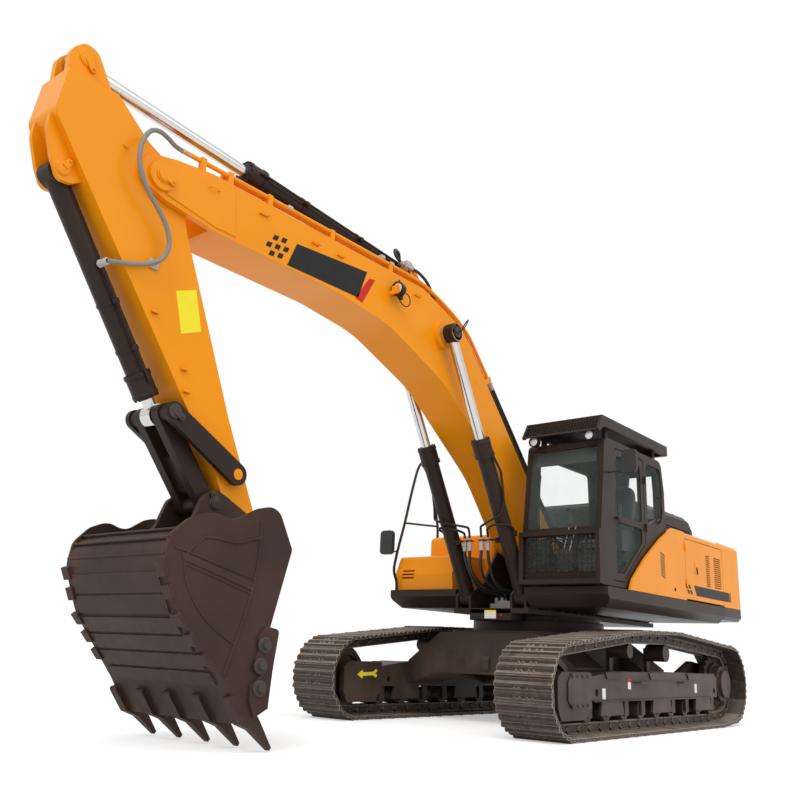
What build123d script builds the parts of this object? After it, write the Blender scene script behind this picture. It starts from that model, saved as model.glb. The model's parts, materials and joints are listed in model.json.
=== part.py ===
"""Crawler excavator, 36 tonne class, as separate pieces.

Millimetres. +X is forward, +Y is the operator's left, +Z is up, and the tracks stand on z = 0.
Lengths along X are given from the swing axis, which lies SWING_X from the part's origin; the
origin is on the ground under the middle of the overall length.
Outlines in the side view are tables of (x, z, corner radius).
"""

import os
from math import atan2, cos, hypot, pi, radians, sin, sqrt, tan

from build123d import *

# ---------------------------------------------------------------- driving dimensions
SWING_X = -1880.0          # swing axis, from the part's origin
PIN_FIT = 0.05             # radial running clearance of a pin in its bore
SEAT = 0.3                 # gap between faces of pieces that move past each other
SIDE_PLAY = 6.0            # gap beside a moving boss

# undercarriage
TRACK_GAUGE = 2600.0       # between the middles of the two tracks
SHOE_WIDTH = 600.0
SHOE_PLATE = 14.0          # thickness of a shoe's plate
GROUSER = 26.0             # height of a shoe's ribs
LINK_HEIGHT = 105.0        # track chain, under the shoe
LINK_WIDTH = 52.0
LINK_SPREAD = 130.0        # between the middles of a chain's two rows of links
SHOE_PITCH = 216.0         # nominal; the loop is closed by a whole number of shoes
BELT_DEPTH = SHOE_PLATE + GROUSER + LINK_HEIGHT
IDLER_AT = (2080.0, 440.0)
IDLER_WRAP = 440.0         # from the idler's axle to the tips of the ribs
SPROCKET_AT = (-2120.0, 500.0)
SPROCKET_WRAP = 465.0
CARRIER_X = (500.0, -460.0)
CARRIER_Z = 830.0
CARRIER_WRAP = (220.0, 240.0)
ROLLER_X = [-1700.0 + 405.0 * k for k in range(9)]
ROLLER_Z = 240.0
FRAME_LOW = 345.0          # underside of the track frame's box
FRAME_TOP = 620.0
FRAME_HALF = 200.0         # half width of the track frame's box
FRAME_REAR = -1760.0
FRAME_FRONT = 1640.0
CARBODY_TOP = 1000.0
BEARING_R = 780.0
BASE_LOW = 1185.0          # underside of the swinging frame's plate
BEARING_TOP = BASE_LOW - SEAT

# house
BASE_TOP = 1240.0
DECK_LOW = 1250.0
DECK_TOP = 1460.0
DECK_IN = 500.0            # inner edge of the side decks
HOUSE_HALF = 1490.0
HOUSE_TOP = 2280.0
TAIL_R = 3300.0            # tail swing radius
WEIGHT_FRONT = -2260.0     # seam between the body panels and the counterweight
PANEL = 6.0                # thickness of a body panel
ENGINE_LOW = 1560.0        # top of the webs under the engine
WEB_INNER = 262.0          # longitudinal webs that hold the boom's foot
WEB_OUTER = 292.0

# cab
CAB_IN = DECK_IN + 5.0
CAB_OUT = HOUSE_HALF - 40.0
CAB_FLOOR = 1475.0
CAB_ROOF = 3060.0
CAB_REAR = -510.0
CAB_WALL = 55.0
GLASS = 6.0

# pins of the digging gear, in the side view (x, z)
BOOM_FOOT = (150.0, 1980.0)
BOOM_TIP = (6120.0, 4190.0)
BOOM_EYE = (2440.0, 4030.0)
BOOM_CYLINDER_FOOT = (950.0, 1360.0)
ARM_CYLINDER_FOOT = (2900.0, 4650.0)
ARM_EAR = (6800.0, 4890.0)
ARM_TIP = (4930.0, 1570.0)
BUCKET_CYLINDER_FOOT = (6850.0, 3940.0)
ROCKER_PIN = (5100.0, 2020.0)
LINK_TOP = (5760.0, 2380.0)
LINK_EAR = (5280.0, 1765.0)

PIN_R = 55.0
SMALL_PIN_R = 45.0
BOOM_HALF = 245.0
ARM_HALF = 190.0
BOOM_FORK = ARM_HALF + SIDE_PLAY   # inner face of the fork at the boom's tip
BUCKET_LIP_HALF = 715.0    # half width at the cutting edge; the flanks close in towards the back
BUCKET_TAPER = 0.155
BUCKET_LIP_X = 5220.0
BUCKET_WALL = 26.0

os.makedirs("parts", exist_ok=True)


# ---------------------------------------------------------------- working planes and shapes
def side(y):
    """The side view's plane at y, drawn in (x, z)."""
    return Plane(origin=(SWING_X, y, 0), x_dir=(1, 0, 0), z_dir=(0, -1, 0))


def level(z):
    """The plan view's plane at z, drawn in (x, y)."""
    return Plane(origin=(SWING_X, 0, z), x_dir=(1, 0, 0), z_dir=(0, 0, 1))


def cross(x):
    """The front view's plane at x, drawn in (y, z)."""
    return Plane(origin=(SWING_X + x, 0, 0), x_dir=(0, 1, 0), z_dir=(1, 0, 0))


def slab(x, y, z, mode=Mode.ADD):
    """A block between two limits on each axis."""
    middle = (SWING_X + (x[0] + x[1]) / 2, (y[0] + y[1]) / 2, (z[0] + z[1]) / 2)
    with Locations(middle):
        Box(abs(x[1] - x[0]), abs(y[1] - y[0]), abs(z[1] - z[0]), mode=mode)


def outline(plane, table, depth, mode=Mode.ADD):
    """A closed outline of (a, b, corner radius) rows, drawn on a plane and pushed out of it."""
    with BuildSketch(plane) as shape:
        with BuildLine():
            FilletPolyline(*[row[:2] for row in table],
                           radius=[row[2] for row in table], close=True)
        make_face()
    extrude(shape.sketch, amount=depth, mode=mode)


def plate(table, y, mode=Mode.ADD):
    """A side-view outline with its thickness between two values of y."""
    outline(side(max(y)), table, abs(y[1] - y[0]), mode)


def floor_plate(table, z, mode=Mode.ADD):
    """A plan-view outline with its thickness between two heights."""
    outline(level(min(z)), table, abs(z[1] - z[0]), mode)


def rib(table, x, mode=Mode.ADD):
    """A front-view outline with its thickness between two values of x."""
    outline(cross(min(x)), table, abs(x[1] - x[0]), mode)


def rod(at, y, radius, mode=Mode.ADD):
    """A round bar along Y between two values of y, at (x, z)."""
    start = Plane(origin=(SWING_X + at[0], min(y), at[1]), z_dir=(0, 1, 0))
    with Locations(start):
        Cylinder(radius, abs(y[1] - y[0]), align=(Align.CENTER, Align.CENTER, Align.MIN), mode=mode)


def post(at, z, radius, mode=Mode.ADD):
    """A round bar along Z between two heights, at (x, y)."""
    with Locations((SWING_X + at[0], at[1], min(z))):
        Cylinder(radius, abs(z[1] - z[0]), align=(Align.CENTER, Align.CENTER, Align.MIN), mode=mode)


def stay(start, end, y, radius, mode=Mode.ADD):
    """A round bar in the side view from one (x, z) to another, with its axis at y."""
    run = (end[0] - start[0], end[1] - start[1])
    base = Plane(origin=(SWING_X + start[0], y, start[1]), z_dir=(run[0], 0, run[1]))
    with Locations(base):
        Cylinder(radius, hypot(*run), align=(Align.CENTER, Align.CENTER, Align.MIN), mode=mode)


def bends(points):
    """For each inner point, the largest arc that its two runs allow."""
    radii = []
    for before, at, after in zip(points, points[1:], points[2:]):
        first = Vector(*at) - Vector(*before)
        second = Vector(*after) - Vector(*at)
        turn = radians(first.get_angle(second))
        radii.append(0.45 * min(first.length, second.length) / tan(turn / 2))
    return radii


def pipe(points, radius):
    """A round tube along straight runs joined by tangent arcs; points are (x, y, z)."""
    radii = bends(points)
    with BuildLine() as route:
        FilletPolyline(*[(SWING_X + x, y, z) for x, y, z in points], radius=radii)
    with BuildSketch(Plane(origin=route.line @ 0, z_dir=route.line % 0)) as bore:
        Circle(radius)
    sweep(bore.sketch, path=route.line)


def along(start, end, distance):
    """The (x, z) point at a distance from start towards end."""
    length = hypot(end[0] - start[0], end[1] - start[1])
    share = distance / length
    return (start[0] + (end[0] - start[0]) * share, start[1] + (end[1] - start[1]) * share)


def mirrored(table):
    """A front-view outline completed by its mirror image in the middle plane."""
    return table + [(-a, b, r) for a, b, r in reversed(table)]


def save(piece, name):
    piece.part.label = name
    export_step(piece.part, f"parts/{name}.step")


# ---------------------------------------------------------------- tracks
def belt(wheels):
    """Straight runs and arcs round the wheels (x, z, radius), counter-clockwise in (x, z).

    Each entry is ("line", start, end) or ("arc", middle, radius, first angle, last angle).
    """
    ends = []
    count = len(wheels)
    for k in range(count):
        x0, z0, r0 = wheels[k]
        x1, z1, r1 = wheels[(k + 1) % count]
        length = hypot(x1 - x0, z1 - z0)
        ahead = ((x1 - x0) / length, (z1 - z0) / length)
        lean = (r0 - r1) / length
        out = sqrt(1 - lean * lean)
        normal = (ahead[0] * lean + ahead[1] * out, ahead[1] * lean - ahead[0] * out)
        ends.append(((x0 + r0 * normal[0], z0 + r0 * normal[1]),
                     (x1 + r1 * normal[0], z1 + r1 * normal[1]),
                     atan2(normal[1], normal[0])))
    path = []
    for k in range(count):
        start, end, angle = ends[k]
        path.append(("line", start, end))
        x1, z1, r1 = wheels[(k + 1) % count]
        turn = (ends[(k + 1) % count][2] - angle) % (2 * pi)
        path.append(("arc", (x1, z1), r1, angle, angle + turn))
    return path


def run_length(run):
    """Length of one entry of a belt."""
    if run[0] == "line":
        return hypot(run[2][0] - run[1][0], run[2][1] - run[1][1])
    return run[2] * (run[4] - run[3])


def on_belt(path, distance):
    """Place (x, z) and outward direction at a distance along a belt."""
    for run in path:
        length = run_length(run)
        if distance <= length:
            share = distance / length
            if run[0] == "line":
                (x0, z0), (x1, z1) = run[1:]
                ahead = ((x1 - x0) / length, (z1 - z0) / length)
                return (x0 + (x1 - x0) * share, z0 + (z1 - z0) * share), (ahead[1], -ahead[0])
            angle = run[3] + (run[4] - run[3]) * share
            (x, z), r = run[1:3]
            return (x + r * cos(angle), z + r * sin(angle)), (cos(angle), sin(angle))
        distance -= length
    return on_belt(path, 0.0)


def shoe_frames():
    """Middle (x, z) and outward direction of every shoe, on the shoe plate's inner face."""
    depth = SHOE_PLATE + GROUSER
    wheels = [
        (ROLLER_X[0], ROLLER_Z, ROLLER_Z - depth),
        (IDLER_AT[0], IDLER_AT[1], IDLER_WRAP - depth),
        (CARRIER_X[0], CARRIER_Z, CARRIER_WRAP[0] - depth),
        (CARRIER_X[1], CARRIER_Z, CARRIER_WRAP[1] - depth),
        (SPROCKET_AT[0], SPROCKET_AT[1], SPROCKET_WRAP - depth),
    ]
    path = belt(wheels)
    total = sum(run_length(run) for run in path)
    count = round(total / (SHOE_PITCH * 1.045))
    pitch = total / count
    return [on_belt(path, pitch * (k + 0.5)) for k in range(count)], pitch


def joint_line(frames, offset):
    """Corners between neighbouring shoes, at an offset outward from the shoes' inner face."""
    corners = []
    for k in range(len(frames)):
        (p, n), (q, m) = frames[k - 1], frames[k]
        a = p[0] * n[0] + p[1] * n[1] + offset
        b = q[0] * m[0] + q[1] * m[1] + offset
        det = n[0] * m[1] - n[1] * m[0]
        if abs(det) < 1e-3:
            corners.append(((p[0] + q[0]) / 2 + n[0] * offset, (p[1] + q[1]) / 2 + n[1] * offset))
        else:
            corners.append(((a * m[1] - b * n[1]) / det, (b * n[0] - a * m[0]) / det))
    return corners


# one shoe from its rear edge to its front edge: (share of the pitch, share of the rib height)
SHOE_PROFILE = [
    (-0.46, 0.0), (-0.42, 1.0), (-0.33, 1.0), (-0.20, 0.12), (-0.05, 0.85), (0.04, 0.85),
    (0.17, 0.12), (0.30, 0.85), (0.38, 0.85), (0.46, 0.0),
]


def track(y_middle, name):
    """A closed track: shoes with three ribs each, over two rows of chain links."""
    frames, pitch = shoe_frames()
    outer = []
    for (x, z), (nx, nz) in frames:
        for share, rise in SHOE_PROFILE:
            a = -share * pitch
            b = SHOE_PLATE + rise * GROUSER
            outer.append((x + nz * a + nx * b, z - nx * a + nz * b))
    outer = outer[::-1]
    inner = joint_line(frames, 0.0)
    with BuildPart() as loop:
        with BuildSketch(side(y_middle + SHOE_WIDTH / 2)) as shoes:
            with BuildLine():
                Polyline(*outer, close=True)
            make_face()
            with BuildLine():
                Polyline(*inner, close=True)
            make_face(mode=Mode.SUBTRACT)
        extrude(shoes.sketch, amount=SHOE_WIDTH)
        for row in (-1, 1):
            with BuildSketch(side(y_middle + row * LINK_SPREAD / 2 + LINK_WIDTH / 2)) as links:
                with BuildLine():
                    Polyline(*joint_line(frames, 1.0), close=True)
                make_face()
                with BuildLine():
                    Polyline(*joint_line(frames, -LINK_HEIGHT), close=True)
                make_face(mode=Mode.SUBTRACT)
            extrude(links.sketch, amount=LINK_WIDTH)
    save(loop, name)


SIDES = (("left", 1), ("right", -1))
for side_name, s in SIDES:
    track(s * TRACK_GAUGE / 2, f"track_{side_name}")


# ---------------------------------------------------------------- track frames and wheels
YOKE_HALF = 130.0          # clear width for the idler
TIE_HOLE_R = 35.0
GUARD_LOW = 205.0


def track_frame(s, name):
    """Box girder with its yoke for the idler, roller guards and the final drive's seat."""
    middle = s * TRACK_GAUGE / 2
    low, high = middle - FRAME_HALF, middle + FRAME_HALF
    body = [
        (FRAME_REAR, FRAME_LOW, 20), (FRAME_FRONT, FRAME_LOW, 20), (FRAME_FRONT, FRAME_TOP - 60, 30),
        (FRAME_FRONT - 500, FRAME_TOP, 60), (FRAME_REAR + 60, FRAME_TOP, 60),
        (FRAME_REAR, FRAME_TOP - 60, 20),
    ]
    cheek = [
        (FRAME_FRONT - 38, 300, 20), (FRAME_FRONT + 60, 180, 30), (2170, 180, 60), (2230, 300, 60),
        (2230, 560, 60), (2150, 610, 40), (FRAME_FRONT - 38, 610, 20),
    ]
    guard = [
        (-0.5, GUARD_LOW, 10), (0.5, GUARD_LOW, 10), (0.42, FRAME_LOW + 20, 10),
        (-0.42, FRAME_LOW + 20, 10),
    ]
    with BuildPart() as frame:
        plate(body, (low, high))
        for face in (-1, 1):
            inner = middle + face * YOKE_HALF
            plate(cheek, (inner, inner + face * (FRAME_HALF - YOKE_HALF)))
            for k in (1, 4, 7):
                at = ROLLER_X[k]
                inner = middle + face * (FRAME_HALF - 30)
                table = [(at + a * 520, z, r) for a, z, r in guard]
                plate(table, (inner, inner + face * 30))
        # seat of the final drive: a cheek on the machine's inner side of the sprocket
        seat_y = middle - s * 150
        motor = [
            (FRAME_REAR + 300, 380, 20), (FRAME_REAR + 300, FRAME_TOP, 20),
            (FRAME_REAR - 120, 760, 60), (SPROCKET_AT[0] - 160, 720, 120),
            (SPROCKET_AT[0] - 180, 300, 120), (FRAME_REAR - 150, 352, 60),
        ]
        plate(motor, (seat_y - s * 70, seat_y))
        # two steps on the outer side, level with the top
        for at in (-700, 450):
            slab((at - 190, at + 190), (middle + s * FRAME_HALF, middle + s * (FRAME_HALF + 85)),
                 (FRAME_TOP - 110, FRAME_TOP - 95))
        # tie-down holes through the front and rear ends
        for at in (FRAME_REAR + 90, FRAME_FRONT - 170):
            rod((at, FRAME_LOW + 75), (low - 1, high + 1), TIE_HOLE_R, Mode.SUBTRACT)
    save(frame, name)


for side_name, s in SIDES:
    track_frame(s, f"track_frame_{side_name}")

IDLER_R = IDLER_WRAP - BELT_DEPTH - SEAT
SPROCKET_R = SPROCKET_WRAP - BELT_DEPTH - SEAT
LINK_GAP = LINK_SPREAD / 2 - LINK_WIDTH / 2 - 3.0    # half width between the two rows of links

with BuildPart() as idlers:
    for _, s in SIDES:
        middle = s * TRACK_GAUGE / 2
        rod(IDLER_AT, (middle - 95, middle + 95), IDLER_R)
        rod(IDLER_AT, (middle - LINK_GAP, middle + LINK_GAP), IDLER_R + 45)
        for face in (-1, 1):
            rod(IDLER_AT, (middle + face * 55, middle + face * 96), IDLER_R - 60, Mode.SUBTRACT)
        rod(IDLER_AT, (middle - YOKE_HALF + SEAT, middle + YOKE_HALF - SEAT), 70)
save(idlers, "idlers")

SPROCKET_TEETH = 21
with BuildPart() as sprockets:
    for _, s in SIDES:
        middle = s * TRACK_GAUGE / 2
        rod(SPROCKET_AT, (middle - LINK_GAP, middle + LINK_GAP), SPROCKET_R)
        for k in range(SPROCKET_TEETH):
            turn = 2 * pi * k / SPROCKET_TEETH
            root = (SPROCKET_AT[0] + (SPROCKET_R - 20) * cos(turn),
                    SPROCKET_AT[1] + (SPROCKET_R - 20) * sin(turn))
            tip = (SPROCKET_AT[0] + (SPROCKET_R + 38) * cos(turn),
                   SPROCKET_AT[1] + (SPROCKET_R + 38) * sin(turn))
            across = (-sin(turn), cos(turn))
            tooth = [(root[0] + across[0] * 26, root[1] + across[1] * 26, 0),
                     (root[0] - across[0] * 26, root[1] - across[1] * 26, 0),
                     (tip[0] - across[0] * 12, tip[1] - across[1] * 12, 0),
                     (tip[0] + across[0] * 12, tip[1] + across[1] * 12, 0)]
            plate(tooth, (middle - LINK_GAP, middle + LINK_GAP))
save(sprockets, "sprockets")

with BuildPart() as final_drives:
    for _, s in SIDES:
        middle = s * TRACK_GAUGE / 2
        # hub on the outer side, stepped down to its cover
        for reach, radius in ((LINK_GAP + 40, 250), (LINK_GAP + 115, 215), (LINK_GAP + 160, 165)):
            rod(SPROCKET_AT, (middle + s * LINK_GAP, middle + s * reach), radius)
        # motor case between the sprocket and its seat
        rod(SPROCKET_AT, (middle - s * LINK_GAP, middle - s * 150), 190)
        rod(SPROCKET_AT, (middle - s * 220, middle - s * 300), 150)
save(final_drives, "final_drives")

ROLLER_R = ROLLER_Z - BELT_DEPTH - SEAT
with BuildPart() as rollers:
    for _, s in SIDES:
        middle = s * TRACK_GAUGE / 2
        for at in ROLLER_X:
            rod((at, ROLLER_Z), (middle - 130, middle + 130), ROLLER_R)
            rod((at, ROLLER_Z), (middle - LINK_GAP, middle + LINK_GAP), ROLLER_R + 8)
            for face in (-1, 1):
                slab((at - 45, at + 45), (middle + face * 130, middle + face * 160),
                     (ROLLER_Z - 50, FRAME_LOW))
        for at, wrap in zip(CARRIER_X, CARRIER_WRAP):
            radius = wrap - BELT_DEPTH - SEAT
            rod((at, CARRIER_Z), (middle - 110, middle + 110), radius)
            slab((at - 40, at + 40), (middle - s * 110, middle - s * 150),
                 (FRAME_TOP, CARRIER_Z + 50))
save(rollers, "rollers")

# ---------------------------------------------------------------- carbody and swing bearing
LEG = [
    (0, CARBODY_TOP - 30), (640, CARBODY_TOP - 30), (TRACK_GAUGE / 2 - FRAME_HALF, 640),
    (TRACK_GAUGE / 2 - FRAME_HALF, 380), (700, 520), (0, 520),
]
CORE = [
    (-620, -840, 0), (620, -840, 0), (1000, -520, 0), (1000, 520, 0), (620, 840, 0),
    (-620, 840, 0), (-1000, 520, 0), (-1000, -520, 0),
]
TOW_BORE_R = 36.0
with BuildPart() as carbody:
    floor_plate(CORE, (560, CARBODY_TOP))
    for end in (-1, 1):
        for s in (-1, 1):
            rib([(s * y, z, 0) for y, z in LEG], (end * 480, end * 1120))
    # tow lug under the front and rear edge, with a bore across
    for end in (-1, 1):
        lug = [(end * 960, 560, 0), (end * 1150, 560, 40), (end * 1150, 700, 60), (end * 960, 820, 0)]
        plate(lug, (-45, 45))
        rod((end * 1085, 630), (-46, 46), TOW_BORE_R, Mode.SUBTRACT)
save(carbody, "carbody")

with BuildPart() as swing_bearing:
    post((0, 0), (CARBODY_TOP, BEARING_TOP - 60), BEARING_R)
    post((0, 0), (BEARING_TOP - 60, BEARING_TOP), BEARING_R - 40)
    post((0, 0), (CARBODY_TOP, BEARING_TOP), BEARING_R - 160, Mode.SUBTRACT)
save(swing_bearing, "swing_bearing")

# ---------------------------------------------------------------- swinging frame
EAR_IN = 445.0             # outer ear of the boom cylinder's foot
EAR_OUT = 475.0
WEB = [
    (-2240, BASE_TOP - 1, 0), (1060, BASE_TOP - 1, 0), (1068, 1380, 80), (960, 1462, 80),
    (820, 1500, 60), (420, 2060, 60), (270, 2130, 80), (40, 2130, 80), (-300, 1960, 120), (-900, ENGINE_LOW, 120),
    (-2240, ENGINE_LOW, 0),
]
EAR = [
    (800, BASE_TOP - 1, 0), (1060, BASE_TOP - 1, 0), (1068, 1380, 80), (960, 1462, 80),
    (820, 1400, 60),
]
with BuildPart() as main_frame:
    slab((WEIGHT_FRONT + SEAT, 1060), (-DECK_IN + SEAT, DECK_IN - SEAT), (BASE_LOW, BASE_TOP))
    for _, s in SIDES:
        plate(WEB, (s * WEB_INNER, s * WEB_OUTER))
        plate(EAR, (s * EAR_IN, s * EAR_OUT))
        rod(BOOM_FOOT, (s * WEB_INNER, s * (WEB_OUTER + 30)), 125)
        rod(BOOM_CYLINDER_FOOT, (s * WEB_INNER, s * (EAR_OUT + 18)), SMALL_PIN_R + 5)
    rod(BOOM_FOOT, (-WEB_OUTER - 45, WEB_OUTER + 45), PIN_R)
    # cross members behind the boom's foot
    slab((-900, -860), (-WEB_INNER, WEB_INNER), (BASE_TOP - 1, 1600))
    slab((-2000, -1960), (-WEB_INNER, WEB_INNER), (BASE_TOP - 1, 1500))
    # outriggers to the side decks
    for _, s in SIDES:
        for at in (-2100, -1100, -100, 600):
            slab((at - 20, at + 20), (s * WEB_OUTER, s * (DECK_IN - SEAT)),
                 (BASE_TOP - 1, DECK_TOP - 20))
save(main_frame, "main_frame")

# ---------------------------------------------------------------- hinges of the doors and the hood
KNUCKLE = 45.0             # length of one half of a hinge
KNUCKLE_R = 9.0
HINGE_OUT = 10.0           # from a service door's face to its hinge axis
HINGE_Z = (1620.0, 2050.0)
RIGHT_DOOR_FRONT = -1345.0
HOOD_HINGE = (-2640.0, 2330.0)
HOOD_HINGE_Y = (-420.0, 780.0)

# ---------------------------------------------------------------- decks and counterweight
DECKS = (("left", 1, 1150.0), ("right", -1, 1030.0))
SKIRT_BEVEL = 90.0
with BuildPart() as decks:
    for _, s, front in DECKS:
        skirt = [(s * DECK_IN, DECK_LOW, 0), (s * (HOUSE_HALF - SKIRT_BEVEL), DECK_LOW, 20),
                 (s * HOUSE_HALF, DECK_LOW + SKIRT_BEVEL, 20), (s * HOUSE_HALF, DECK_TOP, 8),
                 (s * DECK_IN, DECK_TOP, 0)]
        rib(skirt, (WEIGHT_FRONT + SEAT, front))
        wedge = [(front - 130, DECK_LOW - 1, 0), (front + 1, DECK_LOW - 1, 0),
                 (front + 1, DECK_LOW + 130, 0)]
        plate(wedge, (s * DECK_IN, s * HOUSE_HALF), Mode.SUBTRACT)
save(decks, "decks")

WEIGHT_LOW = 1300.0
WEIGHT_EDGE = 45.0
LIFT_BORE_R = 32.0
with BuildPart() as counterweight:
    tail_x = -sqrt(TAIL_R ** 2 - HOUSE_HALF ** 2)
    with BuildSketch(level(WEIGHT_LOW)) as tail:
        with BuildLine():
            Polyline((tail_x, -HOUSE_HALF), (WEIGHT_FRONT, -HOUSE_HALF),
                     (WEIGHT_FRONT, HOUSE_HALF), (tail_x, HOUSE_HALF))
            ThreePointArc((tail_x, HOUSE_HALF), (-TAIL_R, 0), (tail_x, -HOUSE_HALF))
        make_face()
    extrude(amount=HOUSE_TOP + 20 - WEIGHT_LOW)
    upright = counterweight.edges().filter_by(Axis.Z).sort_by(Axis.X)[:2]
    fillet(upright, 120)
    rear = counterweight.edges().filter_by(GeomType.CIRCLE).filter_by(
        lambda edge: edge.radius > 1000)
    chamfer(rear, WEIGHT_EDGE)
    # lifting lugs on top
    for _, s in SIDES:
        lug = [(-2880, HOUSE_TOP + 19, 0), (-2700, HOUSE_TOP + 19, 0),
               (-2735, HOUSE_TOP + 115, 40), (-2845, HOUSE_TOP + 115, 40)]
        plate(lug, (s * 700 - 22, s * 700 + 22))
        rod((-2790, HOUSE_TOP + 66), (s * 700 - 23, s * 700 + 23), LIFT_BORE_R, Mode.SUBTRACT)
    # fixed halves of the hood's hinges
    for y in HOOD_HINGE_Y:
        across = (y - KNUCKLE, y - SEAT)
        rod(HOOD_HINGE, across, 12)
        slab((HOOD_HINGE[0] - 10, HOOD_HINGE[0] + 10), across, (HOUSE_TOP + 19, HOOD_HINGE[1]))
save(counterweight, "counterweight")

# ---------------------------------------------------------------- engine bay, tanks and panels

def hinge_half(s, at, toward, z):
    """One half of a service door's hinge: a leaf on the face and its knuckle."""
    slab((at + toward * 2, at + toward * 34), (s * (HOUSE_HALF - 1), s * (HOUSE_HALF + 5)), z)
    post((at, s * (HOUSE_HALF + HINGE_OUT)), z, KNUCKLE_R)


BAY_FRONT = -620.0         # rear wall of the cab's bay
DOOR_FRONT = -980.0        # hinge side of the service doors
DOOR_REAR = WEIGHT_FRONT + 15.0
DOOR_LOW = DECK_TOP + 20.0
DOOR_TOP = 2200.0
SKIN = 40.0                # depth of a door or panel pressing
HOOD_LEFT = 1000.0
HOOD_RIGHT = -640.0
HOOD_FRONT = -760.0
HOOD_REAR = -2620.0
HOOD_TOP = 2690.0

ENGINE = ((-2150.0, -1150.0), (-480.0, 560.0), (ENGINE_LOW + SEAT, 2180.0))
with BuildPart() as engine:
    slab(*ENGINE)
save(engine, "engine")

SWOOSH = [
    (610, DECK_TOP + SEAT, 0), (540, 1580, 160), (180, 1850, 700), (-250, 2110, 700),
    (-600, HOUSE_TOP, 40), (DOOR_FRONT + 8, HOUSE_TOP, 0), (DOOR_FRONT + 8, DECK_TOP + SEAT, 0),
]
with BuildPart() as left_panels:
    # swept quarter panel beside the cab
    plate(SWOOSH, (CAB_OUT + 12, HOUSE_HALF))
    # top cover with its rounded outer edge, over the service door
    cover = [(HOOD_LEFT + 8, HOUSE_TOP - SKIN, 0), (HOUSE_HALF - SKIN, HOUSE_TOP - SKIN, 0),
             (HOUSE_HALF - SKIN, DOOR_TOP + 8, 0), (HOUSE_HALF, DOOR_TOP + 8, 0),
             (HOUSE_HALF, HOUSE_TOP, 38), (HOOD_LEFT + 8, HOUSE_TOP, 0)]
    rib(cover, (WEIGHT_FRONT + SEAT, DOOR_FRONT + 9))
    slab((DOOR_FRONT, BAY_FRONT), (HOOD_LEFT + 8, CAB_OUT + 13), (HOUSE_TOP - SKIN, HOUSE_TOP))
    # bulkhead between the cab's bay and the radiators
    slab((DOOR_FRONT + 9, DOOR_FRONT + 30), (DECK_IN + 60, HOUSE_HALF - 1),
         (DECK_TOP + SEAT, HOUSE_TOP - 1))
    for z in HINGE_Z:
        hinge_half(1, DOOR_FRONT + 4, 1, (z + KNUCKLE + SEAT, z + 2 * KNUCKLE))
save(left_panels, "left_panels")

LOUVRE = 13.0


def service_door(s, front, rear, name, louvres):
    """A hinged side door: a shallow pressing with rows of louvre slots (x, z, half length)."""
    with BuildPart() as door:
        slab((front, rear), (s * (HOUSE_HALF - SKIN), s * HOUSE_HALF), (DOOR_LOW, DOOR_TOP))
        slab((front - 25, rear + 25), (s * (HOUSE_HALF - SKIN - 1), s * (HOUSE_HALF - PANEL)),
             (DOOR_LOW + 25, DOOR_TOP - 25), Mode.SUBTRACT)
        for x, z, half in louvres:
            slab((x - half, x + half), (s * (HOUSE_HALF - PANEL - 1), s * (HOUSE_HALF + 1)),
                 (z - LOUVRE / 2, z + LOUVRE / 2), Mode.SUBTRACT)
        for z in HINGE_Z:
            hinge_half(s, front + 4, -1, (z, z + KNUCKLE))
    save(door, name)


LEFT_LOUVRES = [(x, 1685.0 + 27.0 * row, half)
                for x, half in ((-1728.0, 70.0), (-2070.0, 125.0)) for row in range(15)]
RIGHT_LOUVRES = [(-1700.0, 1700.0 + 27.0 * row, 240.0) for row in range(11)]
service_door(1, DOOR_FRONT, DOOR_REAR, "left_door", LEFT_LOUVRES)
service_door(-1, RIGHT_DOOR_FRONT, DOOR_REAR, "right_door", RIGHT_LOUVRES)

HOOD = [
    (HOOD_FRONT, HOUSE_TOP + 12, 0), (HOOD_FRONT, HOOD_TOP, 90), (HOOD_REAR + 180, HOOD_TOP, 120),
    (HOOD_REAR, HOOD_TOP - 150, 90), (HOOD_REAR, HOUSE_TOP + 32, 0),
    (WEIGHT_FRONT + 20, HOUSE_TOP + 32, 0), (WEIGHT_FRONT + 20, HOUSE_TOP + 12, 0),
]
with BuildPart() as engine_hood:
    plate(HOOD, (HOOD_RIGHT, HOOD_LEFT))
    crown = engine_hood.edges().filter_by(lambda edge: edge.center().Z > HOOD_TOP - 120)
    chamfer(crown.filter_by(Axis.X), 70)
    slab((HOOD_REAR + SKIN, HOOD_FRONT - SKIN), (HOOD_RIGHT + SKIN, HOOD_LEFT - SKIN),
         (HOUSE_TOP, HOOD_TOP - 190), Mode.SUBTRACT)
    slab((HOOD_REAR + 260, HOOD_FRONT - 110), (HOOD_RIGHT + 110, HOOD_LEFT - 110),
         (HOUSE_TOP, HOOD_TOP - SKIN), Mode.SUBTRACT)
    # raised ribs across the top
    for k in range(7):
        at = HOOD_FRONT - 160 - 210 * k
        slab((at - 35, at + 35), (HOOD_RIGHT + 120, HOOD_LEFT - 120), (HOOD_TOP - 1, HOOD_TOP + 26))
    # louvre slots in both flanks
    for k in range(5):
        z = HOUSE_TOP + 70 + 32 * k
        for y in (HOOD_RIGHT, HOOD_LEFT - SKIN):
            slab((HOOD_REAR + 180, HOOD_FRONT - 180), (y - 1, y + SKIN + 1), (z, z + 14), Mode.SUBTRACT)
    for y in HOOD_HINGE_Y:
        rod(HOOD_HINGE, (y, y + KNUCKLE), 12)
        slab((HOOD_HINGE[0] + 2, HOOD_REAR + 1), (y, y + KNUCKLE), (HOOD_HINGE[1] - 6, HOOD_HINGE[1] + 6))
save(engine_hood, "engine_hood")

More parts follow.
